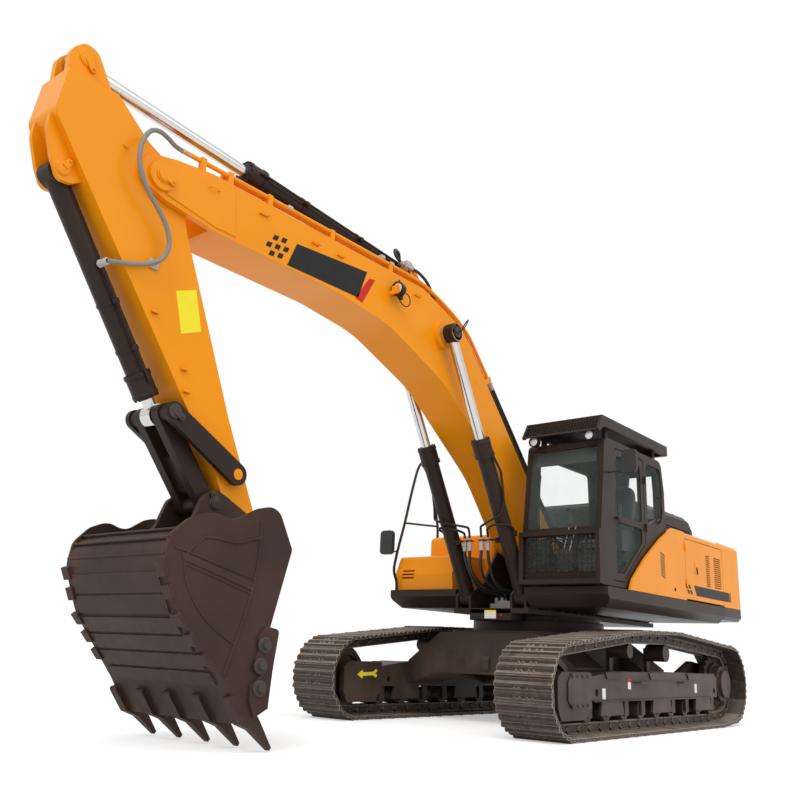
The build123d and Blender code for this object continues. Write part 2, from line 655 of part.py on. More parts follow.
FUEL_TANK = ((-620.0, 300.0), (-HOUSE_HALF + 20, -430.0), (DECK_TOP + SEAT, 2200.0))
OIL_TANK = ((-1310.0, -640.0), (-HOUSE_HALF + 20, -660.0), (DECK_TOP + SEAT, HOUSE_TOP))
with BuildPart() as tanks:
    slab(*FUEL_TANK)
    fillet(tanks.edges().filter_by(Axis.X).sort_by(Axis.Z)[2:], 70)
    fillet(tanks.edges().filter_by(Axis.Y).sort_by(Axis.Z)[2:].sort_by(Axis.X)[-1:], 70)
    post((-160, -900), (2199, 2235), 75)
    slab(*OIL_TANK)
    post((-960, -1050), (HOUSE_TOP - 1, HOUSE_TOP + 35), 90)
save(tanks, "tanks")

with BuildPart() as right_panels:
    cover = [(HOOD_RIGHT - 8, HOUSE_TOP - SKIN, 0), (-HOUSE_HALF + SKIN, HOUSE_TOP - SKIN, 0),
             (-HOUSE_HALF + SKIN, DOOR_TOP + 8, 0), (-HOUSE_HALF, DOOR_TOP + 8, 0),
             (-HOUSE_HALF, HOUSE_TOP, 38), (HOOD_RIGHT - 8, HOUSE_TOP, 0)]
    rib(cover, (WEIGHT_FRONT + SEAT, RIGHT_DOOR_FRONT + 34))
    slab((RIGHT_DOOR_FRONT + 10, RIGHT_DOOR_FRONT + 34), (-HOUSE_HALF, HOOD_RIGHT - 8),
         (DECK_TOP + SEAT, HOUSE_TOP - 1))
    for z in HINGE_Z:
        hinge_half(-1, RIGHT_DOOR_FRONT + 4, 1, (z + KNUCKLE + SEAT, z + 2 * KNUCKLE))
    # exhaust stack through the cover
    post((-1900, -880), (HOUSE_TOP - 1, 2760), 62)
    post((-1900, -880), (2500, 2761), 54, Mode.SUBTRACT)
save(right_panels, "right_panels")

with BuildPart() as tool_box:
    box = [(310, DECK_TOP + SEAT, 0), (955, DECK_TOP + SEAT, 0), (975, 1650, 60), (870, 1880, 70),
           (310, 1890, 0)]
    plate(box, (-HOUSE_HALF + 20, -600))
    for k in range(3):
        z = 1600 + 42 * k
        slab((880, 1000), (-1370, -1180), (z, z + 20), Mode.SUBTRACT)
save(tool_box, "tool_box")

# ---------------------------------------------------------------- cab
CAB_SIDE = [
    (1200, CAB_FLOOR, 30), (1195, 2020, 0), (1060, CAB_ROOF, 90), (-440, CAB_ROOF, 110),
    (CAB_REAR, 2700, 200), (CAB_REAR, CAB_FLOOR, 20),
]
CAB_HOLLOW = [
    (1200 - CAB_WALL, CAB_FLOOR + CAB_WALL, 20), (1195 - CAB_WALL, 2020, 0),
    (1060 - CAB_WALL, CAB_ROOF - CAB_WALL, 50), (-440 + 20, CAB_ROOF - CAB_WALL, 60),
    (CAB_REAR + CAB_WALL, 2700, 160), (CAB_REAR + CAB_WALL, CAB_FLOOR + CAB_WALL, 20),
]
DOORWAY = [
    (925, 1530, 40), (660, 1530, 40), (580, 1620, 120), (240, 1890, 500), (75, 2010, 40),
    (75, 2985, 60), (835, 2985, 60),
]
QUARTER_WINDOW = [(0, 2230, 40), (0, 2960, 60), (-400, 2960, 60), (-440, 2700, 120), (-440, 2400, 60)]
RIGHT_WINDOW = [(945, 1730, 60), (870, 2960, 60), (-380, 2960, 60), (-420, 2250, 60), (250, 1730, 60)]
CAB_MID = (CAB_IN + CAB_OUT) / 2
CAB_HINGE_AT = (70.0, CAB_OUT + 14.0)
CAB_HINGES = (2150.0, 2700.0)
FRONT_UPPER = (2075.0, 2965.0)
FRONT_LOWER = (1610.0, 1985.0)
FRONT_SIDE = 62.0          # width of the front pillars
REAR_WINDOW = (2380.0, 2900.0)
SKYLIGHT = ((180.0, 800.0), (CAB_MID - 300.0, CAB_MID + 300.0))


def front_x(z):
    """Front face of the cab at a height."""
    if z < 2020:
        return 1200 - 5 * (z - CAB_FLOOR) / (2020 - CAB_FLOOR)
    return 1195 - 135 * (z - 2020) / (CAB_ROOF - 2020)


with BuildPart() as cab_shell:
    plate(CAB_SIDE, (CAB_IN, CAB_OUT))
    plate(CAB_HOLLOW, (CAB_IN + CAB_WALL, CAB_OUT - CAB_WALL), Mode.SUBTRACT)
    plate(DOORWAY, (CAB_OUT - CAB_WALL - 1, CAB_OUT + 1), Mode.SUBTRACT)
    plate(QUARTER_WINDOW, (CAB_OUT - CAB_WALL - 1, CAB_OUT + 1), Mode.SUBTRACT)
    plate(RIGHT_WINDOW, (CAB_IN - 1, CAB_IN + CAB_WALL + 1), Mode.SUBTRACT)
    for low, high in (FRONT_UPPER, FRONT_LOWER):
        slab((900, 1300), (CAB_IN + FRONT_SIDE, CAB_OUT - FRONT_SIDE), (low, high), Mode.SUBTRACT)
    slab((CAB_REAR - 50, CAB_REAR + 200), (CAB_IN + 120, CAB_OUT - 120), REAR_WINDOW, Mode.SUBTRACT)
    slab(SKYLIGHT[0], SKYLIGHT[1], (CAB_ROOF - 200, CAB_ROOF + 10), Mode.SUBTRACT)
    # rubber mounts between the floor and the deck
    for x in (-400, 1050):
        for y in (CAB_IN + 110, CAB_OUT - 90):
            post((x, y), (DECK_TOP + SEAT, CAB_FLOOR + 1), 60)
    # fixed halves of the door's hinges
    for z in CAB_HINGES:
        rod_up = (z + KNUCKLE + SEAT, z + 2 * KNUCKLE)
        slab((30, CAB_HINGE_AT[0] - 2), (CAB_OUT - 1, CAB_OUT + 7), rod_up)
        post(CAB_HINGE_AT, rod_up, KNUCKLE_R)
save(cab_shell, "cab_shell")


def inset(table, by):
    """The outline drawn in by a distance towards its middle, corner radii kept."""
    a = sum(row[0] for row in table) / len(table)
    b = sum(row[1] for row in table) / len(table)
    rows = []
    for x, z, r in table:
        reach = hypot(x - a, z - b)
        rows.append((x - (x - a) / reach * by, z - (z - b) / reach * by, r))
    return rows


with BuildPart() as cab_glass:
    for low, high in (FRONT_UPPER, FRONT_LOWER):
        pane = [(front_x(low + 1) - 12, low + SEAT, 0), (front_x(low + 1) - 12 - GLASS, low + SEAT, 0),
                (front_x(high - 1) - 12 - GLASS, high - SEAT, 0),
                (front_x(high - 1) - 12, high - SEAT, 0)]
        plate(pane, (CAB_IN + FRONT_SIDE + SEAT, CAB_OUT - FRONT_SIDE - SEAT))
    plate(inset(QUARTER_WINDOW, 0.6), (CAB_OUT - 14 - GLASS, CAB_OUT - 14))
    plate(inset(RIGHT_WINDOW, 0.6), (CAB_IN + 14, CAB_IN + 14 + GLASS))
    slab((CAB_REAR + 14, CAB_REAR + 14 + GLASS), (CAB_IN + 120 + SEAT, CAB_OUT - 120 - SEAT),
         (REAR_WINDOW[0] + SEAT, REAR_WINDOW[1] - SEAT))
    slab((SKYLIGHT[0][0] + SEAT, SKYLIGHT[0][1] - SEAT), (SKYLIGHT[1][0] + SEAT, SKYLIGHT[1][1] - SEAT),
         (CAB_ROOF - 20, CAB_ROOF - 20 + GLASS))
save(cab_glass, "cab_glass")

DOOR_GAP = 8.0
DOOR_UPPER = [(835, 2240, 40), (790, 2900, 60), (160, 2900, 60), (160, 2240, 40)]
DOOR_LOWER = [(835, 1620, 40), (665, 1620, 60), (390, 1840, 400), (160, 2010, 60), (160, 2170, 40),
              (835, 2170, 40)]
with BuildPart() as cab_door:
    plate(inset(DOORWAY, DOOR_GAP * 1.4), (CAB_OUT - 48, CAB_OUT - 2))
    for hole in (DOOR_UPPER, DOOR_LOWER):
        plate(hole, (CAB_OUT - 60, CAB_OUT + 1), Mode.SUBTRACT)
    # moving halves of the hinges
    for z in CAB_HINGES:
        slab((CAB_HINGE_AT[0] + 2, 110), (CAB_OUT + SEAT, CAB_OUT + 7), (z, z + KNUCKLE))
        slab((90, 110), (CAB_OUT - 3, CAB_OUT + 7), (z, z + KNUCKLE))
        post(CAB_HINGE_AT, (z, z + KNUCKLE), KNUCKLE_R)
    # handle
    slab((735, 825), (CAB_OUT - 3, CAB_OUT + 28), (2190, 2222))
save(cab_door, "cab_door")

with BuildPart() as door_glass:
    for hole in (DOOR_UPPER, DOOR_LOWER):
        plate(inset(hole, 0.6), (CAB_OUT - 22, CAB_OUT - 22 + GLASS))
save(door_glass, "door_glass")

GUARD_X = 1208.0
GUARD_TOP = 2040.0
GUARD_Y = (CAB_IN - 13.0, CAB_OUT + 8.0)
GUARD_RIM = 48.0
with BuildPart() as front_guard:
    mesh_y = (GUARD_Y[0] + GUARD_RIM, GUARD_Y[1] - GUARD_RIM)
    mesh_z = (CAB_FLOOR + 5 + GUARD_RIM, GUARD_TOP - GUARD_RIM)
    slab((GUARD_X, GUARD_X + 45), GUARD_Y, (CAB_FLOOR + 5, GUARD_TOP))
    slab((GUARD_X - 1, GUARD_X + 46), mesh_y, mesh_z, Mode.SUBTRACT)
    for k in range(15):
        y = mesh_y[0] + (mesh_y[1] - mesh_y[0]) * (k + 1) / 16
        slab((GUARD_X + 18, GUARD_X + 25), (y - 3.5, y + 3.5), (mesh_z[0] - 1, mesh_z[1] + 1))
    for k in range(8):
        z = mesh_z[0] + (mesh_z[1] - mesh_z[0]) * (k + 1) / 9
        slab((GUARD_X + 18, GUARD_X + 25), (mesh_y[0] - 1, mesh_y[1] + 1), (z - 3.5, z + 3.5))
    # brackets to the cab's front face
    for y in (CAB_IN + 55, CAB_OUT - 50):
        slab((1200 + SEAT, GUARD_X + 2), (y - 30, y + 30), (CAB_FLOOR + 8, CAB_FLOOR + 40))
save(front_guard, "front_guard")

ROOF_GUARD = ((-640.0, 1120.0), (CAB_IN + 10.0, CAB_OUT + 10.0), (3170.0, 3290.0))
VISOR_TOP = (1104.0, 3286.0)
VISOR_LOW = (1215.0, 3118.0)
LAMP_R = 55.0
with BuildPart() as roof_guard:
    x, y, z = ROOF_GUARD
    slab(x, y, z)
    slab((x[0] + 45, x[1] - 45), (y[0] + 45, y[1] - 45), (z[0] - 1, z[1] - 34), Mode.SUBTRACT)
    slab((x[0] + 45, x[1] - 45), (y[0] + 45, y[1] - 45), (z[1] - 26, z[1] + 1), Mode.SUBTRACT)
    for k in range(9):
        at = x[0] + (x[1] - x[0]) * (k + 1) / 10
        slab((at - 16, at + 16), (y[0] + 44, y[1] - 44), (z[1] - 27, z[1] - 6))
    # sloping visor: two cheeks, a rim along its lower edge and a lattice between them
    visor = [(x[1] - 46, z[0] - 2, 0), (VISOR_LOW[0] - 20, VISOR_LOW[1] - 24, 20),
             (VISOR_LOW[0] + 14, VISOR_LOW[1] - 8, 10), (VISOR_TOP[0] + 12, z[1], 0),
             (x[1] - 46, z[1], 0)]
    for s, edge in ((1, y[0]), (-1, y[1])):
        plate(visor, (edge, edge + s * 24))
    rise = along(VISOR_LOW, VISOR_TOP, 7)
    face = (rise[1] - VISOR_LOW[1], VISOR_LOW[0] - rise[0])

    def strip(start, end, y):
        """A flat bar of the visor between two places on its slope."""
        low, high = along(VISOR_LOW, VISOR_TOP, start), along(VISOR_LOW, VISOR_TOP, end)
        plate([(*low, 0), (low[0] - face[0], low[1] - face[1], 0),
               (high[0] - face[0], high[1] - face[1], 0), (*high, 0)], y)

    slope = hypot(VISOR_TOP[0] - VISOR_LOW[0], VISOR_TOP[1] - VISOR_LOW[1])
    strip(-14, 12, (y[0] + 23, y[1] - 23))
    for k in range(5):
        middle = 12 + (slope - 8) * (k + 1) / 6
        strip(middle - 3, middle + 3, (y[0] + 23, y[1] - 23))
    for k in range(25):
        at = y[0] + (y[1] - y[0]) * (k + 1) / 26
        strip(11, slope + 6, (at - 3, at + 3))
    # feet on the cab's roof
    for s, edge in ((1, y[0]), (-1, y[1])):
        for at in (-380, 880):
            slab((at - 35, at + 35), (edge + s * 70, edge + s * 110), (CAB_ROOF + SEAT, z[0] + 30))
            slab((at - 35, at + 35), (edge + s * 44, edge + s * 110), (z[0] + 5, z[0] + 30))
    # two round lamps under the visor, each on its bracket from the rim
    for at in (y[0] + 130, y[1] - 130):
        with Locations(Location((SWING_X + VISOR_LOW[0] - 60, at, VISOR_LOW[1] - 55), (0, 90, 0))):
            Cylinder(LAMP_R, 60)
        slab((VISOR_LOW[0] - 70, VISOR_LOW[0] - 30), (at - 12, at + 12),
             (VISOR_LOW[1] - 40, VISOR_LOW[1] + 40))
save(roof_guard, "roof_guard")

PEDESTAL = 1925.0
with BuildPart() as seat:
    cushion = [(-120, PEDESTAL + SEAT, 30), (400, PEDESTAL + SEAT, 40), (420, 2060, 40),
               (-120, 2050, 30)]
    back = [(-170, 2010, 30), (-50, 2015, 30), (-190, 2760, 40), (-290, 2750, 40)]
    plate(cushion, (CAB_MID - 250, CAB_MID + 250))
    plate(back, (CAB_MID - 240, CAB_MID + 240))
save(seat, "seat")

with BuildPart() as controls:
    # pedestal under the seat, arm consoles with levers, and travel pedals with their levers
    slab((-150, 380), (CAB_MID - 220, CAB_MID + 220), (CAB_FLOOR + CAB_WALL + SEAT, PEDESTAL))
    for s in (-1, 1):
        slab((-100, 480), (CAB_MID + s * 275, CAB_MID + s * 370), (1900, 2140))
        slab((-100, 300), (CAB_MID + s * 219, CAB_MID + s * 276), (1760, 1900))
        slab((-100, 300), (CAB_MID + s * 275, CAB_MID + s * 370), (1800, 1901))
        post((420, CAB_MID + s * 322), (2139, 2330), 22)
        slab((700, 900), (CAB_MID + s * 90 - 45, CAB_MID + s * 90 + 45),
             (CAB_FLOOR + CAB_WALL + SEAT, 1580))
        post((780, CAB_MID + s * 90), (1579, 2050), 14)
save(controls, "controls")

# right-hand rail: up from the deck's front corner, back over the tool box to the tank
RAIL_Y = -HOUSE_HALF + 70.0
RAIL = [(1006, RAIL_Y, DECK_TOP + SEAT), (1006, RAIL_Y, 1560), (1080, RAIL_Y, 1690),
        (1020, RAIL_Y, 1930), (885, RAIL_Y, 2317), (780, RAIL_Y, 2700), (670, RAIL_Y, 3030),
        (590, RAIL_Y, 3160), (440, RAIL_Y, 3160), (340, RAIL_Y, 2900), (260, RAIL_Y + 20, 2520),
        (230, RAIL_Y + 35, 2340), (230, RAIL_Y + 35, FUEL_TANK[2][1] + SEAT)]
RAIL_R = 17.0
with BuildPart() as handrails:
    pipe(RAIL, RAIL_R)
    pipe([(887, RAIL_Y, 2310), (720, RAIL_Y, 2320), (480, RAIL_Y + 10, 2335),
          (235, RAIL_Y + 33, 2350)], 13)
save(handrails, "handrails")

RIGHT_MIRROR = (985.0, RAIL_Y - 175.0, 2055.0)
LEFT_MIRROR = (945.0, CAB_OUT + 240.0, 2780.0)
with BuildPart() as mirrors:
    # right mirror on its arm from the rail, left mirror on its arm from the cab's front pillar
    for (x, y, z), (width, height), corner in ((RIGHT_MIRROR, (200, 300), 50),
                                               (LEFT_MIRROR, (165, 250), 45)):
        with BuildSketch(cross(x)):
            with Locations((y, z)):
                RectangleRounded(width, height, corner)
        extrude(amount=50)
    x, y, z = RIGHT_MIRROR
    pipe([(1018, RAIL_Y - RAIL_R - SEAT, 1935), (1018, y + 40, 1935), (x + 25, y + 10, z - 80)], 11)
    x, y, z = LEFT_MIRROR
    pipe([(x + 30, CAB_OUT + SEAT, z - 100), (x + 30, y - 50, z - 100), (x + 25, y - 10, z - 50)], 11)
save(mirrors, "mirrors")

# ---------------------------------------------------------------- boom
BOOM = [
    (60, 1830, 120), (560, 1930, 300), (1250, 2720, 1400), (2400, 3520, 1500), (3350, 3870, 1500),
    (4100, 3945, 1500), (5560, 3950, 300), (6060, 4010, 100), (6300, 4090, 130),
    (6290, 4320, 120), (6000, 4390, 300), (5650, 4440, 200), (2780, 4455, 700),
    (2080, 4230, 500), (1900, 4080, 500), (30, 2120, 120),
]
FORK_BACK = 5600.0
CYLINDER_Y = (WEB_OUTER + EAR_IN) / 2
BOOM_EYE_HALF = 84.0
EYE_HALF = 60.0
BUCKET_FOOT_HALF = 80.0
ARM_FOOT_HALF = 96.0
BRACKET = [
    (2480, 4300, 0), (3230, 4420, 0), (3120, 4480, 60), (2990, 4700, 80), (2900, 4770, 90),
    (2800, 4700, 80),
]
with BuildPart() as boom:
    plate(BOOM, (-BOOM_HALF, BOOM_HALF))
    slab((FORK_BACK, 6400), (-BOOM_FORK, BOOM_FORK), (3800, 4600), Mode.SUBTRACT)
    for _, s in SIDES:
        rod(BOOM_TIP, (s * BOOM_FORK, s * (BOOM_HALF + 28)), 122)
        rod(BOOM_EYE, (s * (BOOM_HALF - 1), s * (CYLINDER_Y - BOOM_EYE_HALF - SEAT)), 150)
        plate(BRACKET, (s * (ARM_FOOT_HALF + SIDE_PLAY), s * (ARM_FOOT_HALF + SIDE_PLAY + 32)))
    rod(BOOM_TIP, (-BOOM_HALF - 48, BOOM_HALF + 48), PIN_R)
    rod(ARM_CYLINDER_FOOT, (-ARM_FOOT_HALF - 50, ARM_FOOT_HALF + 50), PIN_R)
    rod(BOOM_FOOT, (-BOOM_HALF - 1, BOOM_HALF + 1), PIN_R + PIN_FIT, Mode.SUBTRACT)
    # work lamp on the left side
    slab((3290, 3350), (BOOM_HALF - 1, 300), (4190, 4230))
    slab((3280, 3360), (285, 370), (4175, 4265))
save(boom, "boom")

PIPE_R = 20.0
PIPE_Y = (165.0, 215.0)
PIPE_ROUTE = [(1450, 3760), (1900, 4215), (2160, 4345), (2500, 4460), (2780, 4530),
              (3300, 4535), (4200, 4530), (5000, 4525), (5500, 4520)]
PIPE_CLAMPS = (3330.0, 4200.0, 5000.0, 5450.0)
PIPE_END = (5930.0, PIPE_Y[1], 4513.5)      # where the outer pipe meets its hose
with BuildPart() as boom_pipes:
    pipe([(x, PIPE_Y[0], z) for x, z in PIPE_ROUTE], PIPE_R)
    pipe([(x, PIPE_Y[1], z) for x, z in PIPE_ROUTE[:-1]] + [PIPE_END], PIPE_R)
    slab((5717, 5767), (BOOM_FORK + 2, PIPE_Y[1] + 25), (4430.5 + SEAT, 4545))
    # clamps on the boom's top, and one on its sloping back
    for x in PIPE_CLAMPS:
        top = 4455 - (x - 25 - 2780) * 15 / 2870
        slab((x - 25, x + 25), (PIPE_Y[0] - 25, PIPE_Y[1] + 25), (top + SEAT, 4550))
    foot = along((30, 2120), (1900, 4080), 2216)
    lean = along((0, 0), (1870, 1960), 1)
    grip = [(a * lean[0] - b * lean[1] + foot[0], a * lean[1] + b * lean[0] + foot[1], 0)
            for a, b in ((-25, 0.4), (25, 0.4), (25, 128), (-25, 128))]
    plate(grip, (PIPE_Y[0] - 25, PIPE_Y[1] + 25))
save(boom_pipes, "boom_pipes")

# ---------------------------------------------------------------- arm
ARM = [
    (4795, 1500, 90), (4920, 1440, 110), (5045, 1490, 95), (5105, 1700, 300), (5300, 2045, 150), (7010, 4320, 120),
    (6955, 4700, 0), (6545, 4700, 0), (6240, 4450, 200), (6020, 4350, 140), (5860, 4120, 140),
    (5790, 3850, 400), (5200, 2480, 0), (4790, 1640, 100),
]
EARS = [
    (6300, 4400, 0), (6940, 4400, 0), (6935, 4900, 110), (6830, 5015, 90), (6720, 4990, 90),
    (6540, 4690, 200),
]
CLEVIS = [
    (6690, 3905, 0), (6770, 3852, 50), (6880, 3846, 70), (6950, 3990, 200), (7015, 4200, 200),
    (7005, 4350, 20), (6860, 4180, 0),
]
# room between the ears for the cylinder's rod eye
POCKET = [
    (6560, 4760, 0), (6560, 4680, 0), (6610, 4620, 40), (6740, 4620, 40), (6830, 4690, 0),
    (6830, 4760, 0),
]
with BuildPart() as arm:
    plate(ARM, (-ARM_HALF, ARM_HALF))
    plate(POCKET, (-EYE_HALF - 8, EYE_HALF + 8), Mode.SUBTRACT)
    for _, s in SIDES:
        plate(EARS, (s * (EYE_HALF + 8), s * 126))
        rod(ARM_EAR, (s * (EYE_HALF + SEAT), s * 140), PIN_R)
        plate(CLEVIS, (s * (BUCKET_FOOT_HALF + SIDE_PLAY), s * 126))
        rod(ROCKER_PIN, (s * (ARM_HALF - 1), s * (ARM_HALF + 19)), 80)
    rod(BUCKET_CYLINDER_FOOT, (-140, 140), SMALL_PIN_R)
    rod(ROCKER_PIN, (-262, 262), SMALL_PIN_R)
    rod(BOOM_TIP, (-ARM_HALF - 1, ARM_HALF + 1), PIN_R + PIN_FIT, Mode.SUBTRACT)
    rod(ARM_TIP, (-ARM_HALF - 1, ARM_HALF + 1), SMALL_PIN_R + PIN_FIT, Mode.SUBTRACT)
save(arm, "arm")

# ---------------------------------------------------------------- cylinders
# name: foot, rod eye, middles in y, barrel and rod radii, length to the end of the gland,
# room left between the foot and the piston at the shortest length, half widths of both eyes
CYLINDERS = {
    "boom": (BOOM_CYLINDER_FOOT, BOOM_EYE, (CYLINDER_Y, -CYLINDER_Y), 88.0, 55.0, 1856.0, 158.0,
             (EAR_IN - WEB_OUTER) / 2 - SIDE_PLAY, BOOM_EYE_HALF, SMALL_PIN_R + 5, 2058.0),
    "arm": (ARM_CYLINDER_FOOT, ARM_EAR, (0.0,), 95.0, 57.0, 2240.0, 170.0,
            ARM_FOOT_HALF, EYE_HALF, PIN_R, 2370.0),
    "bucket": (BUCKET_CYLINDER_FOOT, LINK_TOP, (0.0,), 80.0, 50.0, 1748.0, 160.0,
               BUCKET_FOOT_HALF, EYE_HALF, SMALL_PIN_R, 1858.0),
}
BORE_WALL = 14.0
PORT = along(BUCKET_CYLINDER_FOOT, LINK_TOP, 710)   # where the hose enters the bucket cylinder
GLAND = 190.0
PISTON = 60.0
for name, row in CYLINDERS.items():
    foot, eye, middles, barrel_r, rod_r, reach, room, foot_half, eye_half, pin_r, shortest = row
    with BuildPart() as barrel:
        for y in middles:
            rod(foot, (y - foot_half, y + foot_half), barrel_r + 7)
            stay(foot, along(foot, eye, reach - 1), y, barrel_r)
            stay(along(foot, eye, reach - GLAND), along(foot, eye, reach), y, barrel_r + 17)
            stay(along(foot, eye, room - 40), along(foot, eye, reach - GLAND + 60), y,
                 barrel_r - BORE_WALL, Mode.SUBTRACT)
            stay(along(foot, eye, reach - GLAND), along(foot, eye, reach + 1), y,
                 rod_r + PIN_FIT, Mode.SUBTRACT)
            rod(foot, (y - foot_half - 1, y + foot_half + 1), pin_r + PIN_FIT, Mode.SUBTRACT)
            # nothing of the barrel is wider than its eye beside the foot
            for face in (-1, 1):
                edge = y + face * foot_half
                rod(foot, (edge, edge + face * 80), barrel_r + 50, Mode.SUBTRACT)
        if name == "bucket":
            rod(PORT, (barrel_r - 8, 100), 26)
    save(barrel, f"{name}_barrel")
    length = shortest - room
    with BuildPart() as ram:
        for y in middles:
            rod(eye, (y - eye_half, y + eye_half), rod_r + 38)
            stay(along(eye, foot, length), eye, y, rod_r)
            stay(along(eye, foot, length), along(eye, foot, length - PISTON), y,
                 barrel_r - BORE_WALL - PIN_FIT)
    save(ram, f"{name}_rod")

# ---------------------------------------------------------------- rocker, link and bucket


def bar(start, end, radii, y, mode=Mode.ADD):
    """A flat bar with round ends of two radii, between two values of y."""
    with BuildSketch(side(max(y))) as shape:
        with Locations(start):
            Circle(radii[0])
        with Locations(end):
            Circle(radii[1])
        make_hull()
    extrude(shape.sketch, amount=abs(y[1] - y[0]), mode=mode)


ROCKER_IN = ARM_HALF + 25.0
ROCKER_OUT = ROCKER_IN + 45.0
LINK_IN = EYE_HALF + 8.0
LINK_OUT = 150.0
with BuildPart() as rocker_links:
    for _, s in SIDES:
        bar(ROCKER_PIN, LINK_TOP, (88, 78), (s * ROCKER_IN, s * ROCKER_OUT))
        rod(LINK_TOP, (s * (LINK_OUT + SIDE_PLAY), s * (ROCKER_IN + 1)), 66)
        rod(ROCKER_PIN, (s * (ROCKER_IN - 1), s * (ROCKER_OUT + 1)), SMALL_PIN_R + PIN_FIT,
            Mode.SUBTRACT)
save(rocker_links, "rocker_links")

with BuildPart() as bucket_link:
    for _, s in SIDES:
        bar(LINK_EAR, LINK_TOP, (72, 78), (s * LINK_IN, s * LINK_OUT))
    web = (along(LINK_EAR, LINK_TOP, 150), along(LINK_EAR, LINK_TOP, 420))
    bar(web[0], web[1], (40, 30), (-LINK_IN - 1, LINK_IN + 1))
    rod(LINK_EAR, (-ARM_HALF, ARM_HALF), 72)
    rod(LINK_EAR, (-ARM_HALF - 1, ARM_HALF + 1), SMALL_PIN_R + PIN_FIT, Mode.SUBTRACT)
save(bucket_link, "bucket_link")

SHELL = [
    (4960, 1400, 0), (5208, 1445, 150), (5680, 1520, 180), (5935, 1425, 180), (5962, 1235, 200),
    (5810, 905, 500), (5388, 440, 300), (5204, 190, 0), (5163, 230, 0), (5085, 800, 600),
][::-1]
CAVITY = [
    (4800, 1350, 0), (5208, 1419, 140), (5677, 1494, 160), (5911, 1407, 160), (5935, 1240, 180),
    (5790, 922, 490), (5368, 457, 290), (5180, 207, 0), (4900, 150, 0),
][::-1]
CHEEK = [
    (4930, 1425, 50), (5085, 1740, 120), (5255, 1692, 150), (5450, 1575, 220), (5640, 1622, 200),
    (5800, 1555, 200), (5935, 1425, 130), (5962, 1235, 200), (5810, 905, 500), (5388, 440, 300),
    (5204, 190, 0), (5163, 230, 0), (5085, 800, 600),
][::-1]
BUCKET_EAR = [
    (4820, 1560, 90), (4900, 1400, 60), (4990, 1397, 0), (5560, 1485, 0), (5480, 1600, 80),
    (5400, 1800, 90), (5290, 1875, 80), (5170, 1830, 80), (4870, 1690, 110),
]
EAR_HALF = (ARM_HALF + SIDE_PLAY, ARM_HALF + SIDE_PLAY + 40.0)
TOOTH_Y = [-672.0 + 336.0 * k for k in range(5)]
TOOTH_HALF = 42.0
ADAPTER = [(5078, 215, 0), (5133, 150, 0), (5248, 190, 20), (5388, 372, 20), (5258, 400, 40),
           (5138, 290, 20)]
TOOTH_TIP = (4942.0, 20.0)
BACK = ((5680, 1520), (5935, 1425), (5962, 1235), (5810, 905), (5388, 440))
# wear strips across the back: run of the back, share of its length at both ends
STRIPS = ((0, 0.22, 0.58), (2, 0.17, 0.56), (2, 0.61, 0.97), (3, 0.04, 0.25), (3, 0.29, 0.50),
          (3, 0.54, 0.75), (3, 0.79, 0.97))
# shrouds round the back's edges: run, share of its length
SHROUDS = ((2, 0.12), (2, 0.56), (3, 0.06), (3, 0.33), (3, 0.60))


def flank(x):
    """Half width of the bucket at a place along X."""
    return BUCKET_LIP_HALF - BUCKET_TAPER * (x - BUCKET_LIP_X)


def within(out):
    """Plan view of everything between the bucket's flanks, moved outward by a distance."""
    low, high = flank(4600) + out, flank(6200) + out
    return [(4600, -low, 0), (6200, -high, 0), (6200, high, 0), (4600, low, 0)]


def beyond(s, out):
    """Plan view of everything outside one flank, moved outward by a distance."""
    return [(4600, s * (flank(4600) + out), 0), (6200, s * (flank(6200) + out), 0),
            (6200, s * 1000, 0), (4600, s * 1000, 0)]


def patch(run, start, end, rise, y):
    """A flat plate on the bucket's back between two shares of one of its runs."""
    (x0, z0), (x1, z1) = BACK[run:run + 2]
    length = hypot(x1 - x0, z1 - z0)
    out = ((z0 - z1) / length, (x1 - x0) / length)
    a = (x0 + (x1 - x0) * start, z0 + (z1 - z0) * start)
    b = (x0 + (x1 - x0) * end, z0 + (z1 - z0) * end)
    plate([(a[0] + out[0] * k, a[1] + out[1] * k, 0) for k in (-8, rise)]
          + [(b[0] + out[0] * k, b[1] + out[1] * k, 0) for k in (rise, -8)], y)


with BuildPart() as cheeks:
    plate(CHEEK, (-900, 900))
    floor_plate(within(-BUCKET_WALL), (0, 2000), Mode.SUBTRACT)

with BuildPart() as bucket:
    plate(SHELL, (-900, 900))
    plate(CAVITY, (-901, 901), Mode.SUBTRACT)
    add(cheeks.part)
    for _, s in SIDES:
        floor_plate(beyond(s, 0), (0, 2000), Mode.SUBTRACT)
    for run, start, end in STRIPS:
        at = BACK[run][0] + (BACK[run + 1][0] - BACK[run][0]) * (start + end) / 2
        patch(run, start, end, 12, (-flank(at) + 78, flank(at) - 78))
    for run, share in SHROUDS:
        at = BACK[run][0] + (BACK[run + 1][0] - BACK[run][0]) * share
        reach = 48 / hypot(BACK[run + 1][0] - BACK[run][0], BACK[run + 1][1] - BACK[run][1])
        for _, s in SIDES:
            patch(run, share - reach, share + reach, 26, (s * (flank(at) - 62), s * (flank(at) + 20)))
    for _, s in SIDES:
        plate(BUCKET_EAR, (s * EAR_HALF[0], s * EAR_HALF[1]))
    for y in TOOTH_Y:
        plate(ADAPTER, (y - TOOTH_HALF, y + TOOTH_HALF))
    rod(ARM_TIP, (-EAR_HALF[1] - 20, EAR_HALF[1] + 20), SMALL_PIN_R)
    rod(LINK_EAR, (-EAR_HALF[1] - 20, EAR_HALF[1] + 20), SMALL_PIN_R)
save(bucket, "bucket")


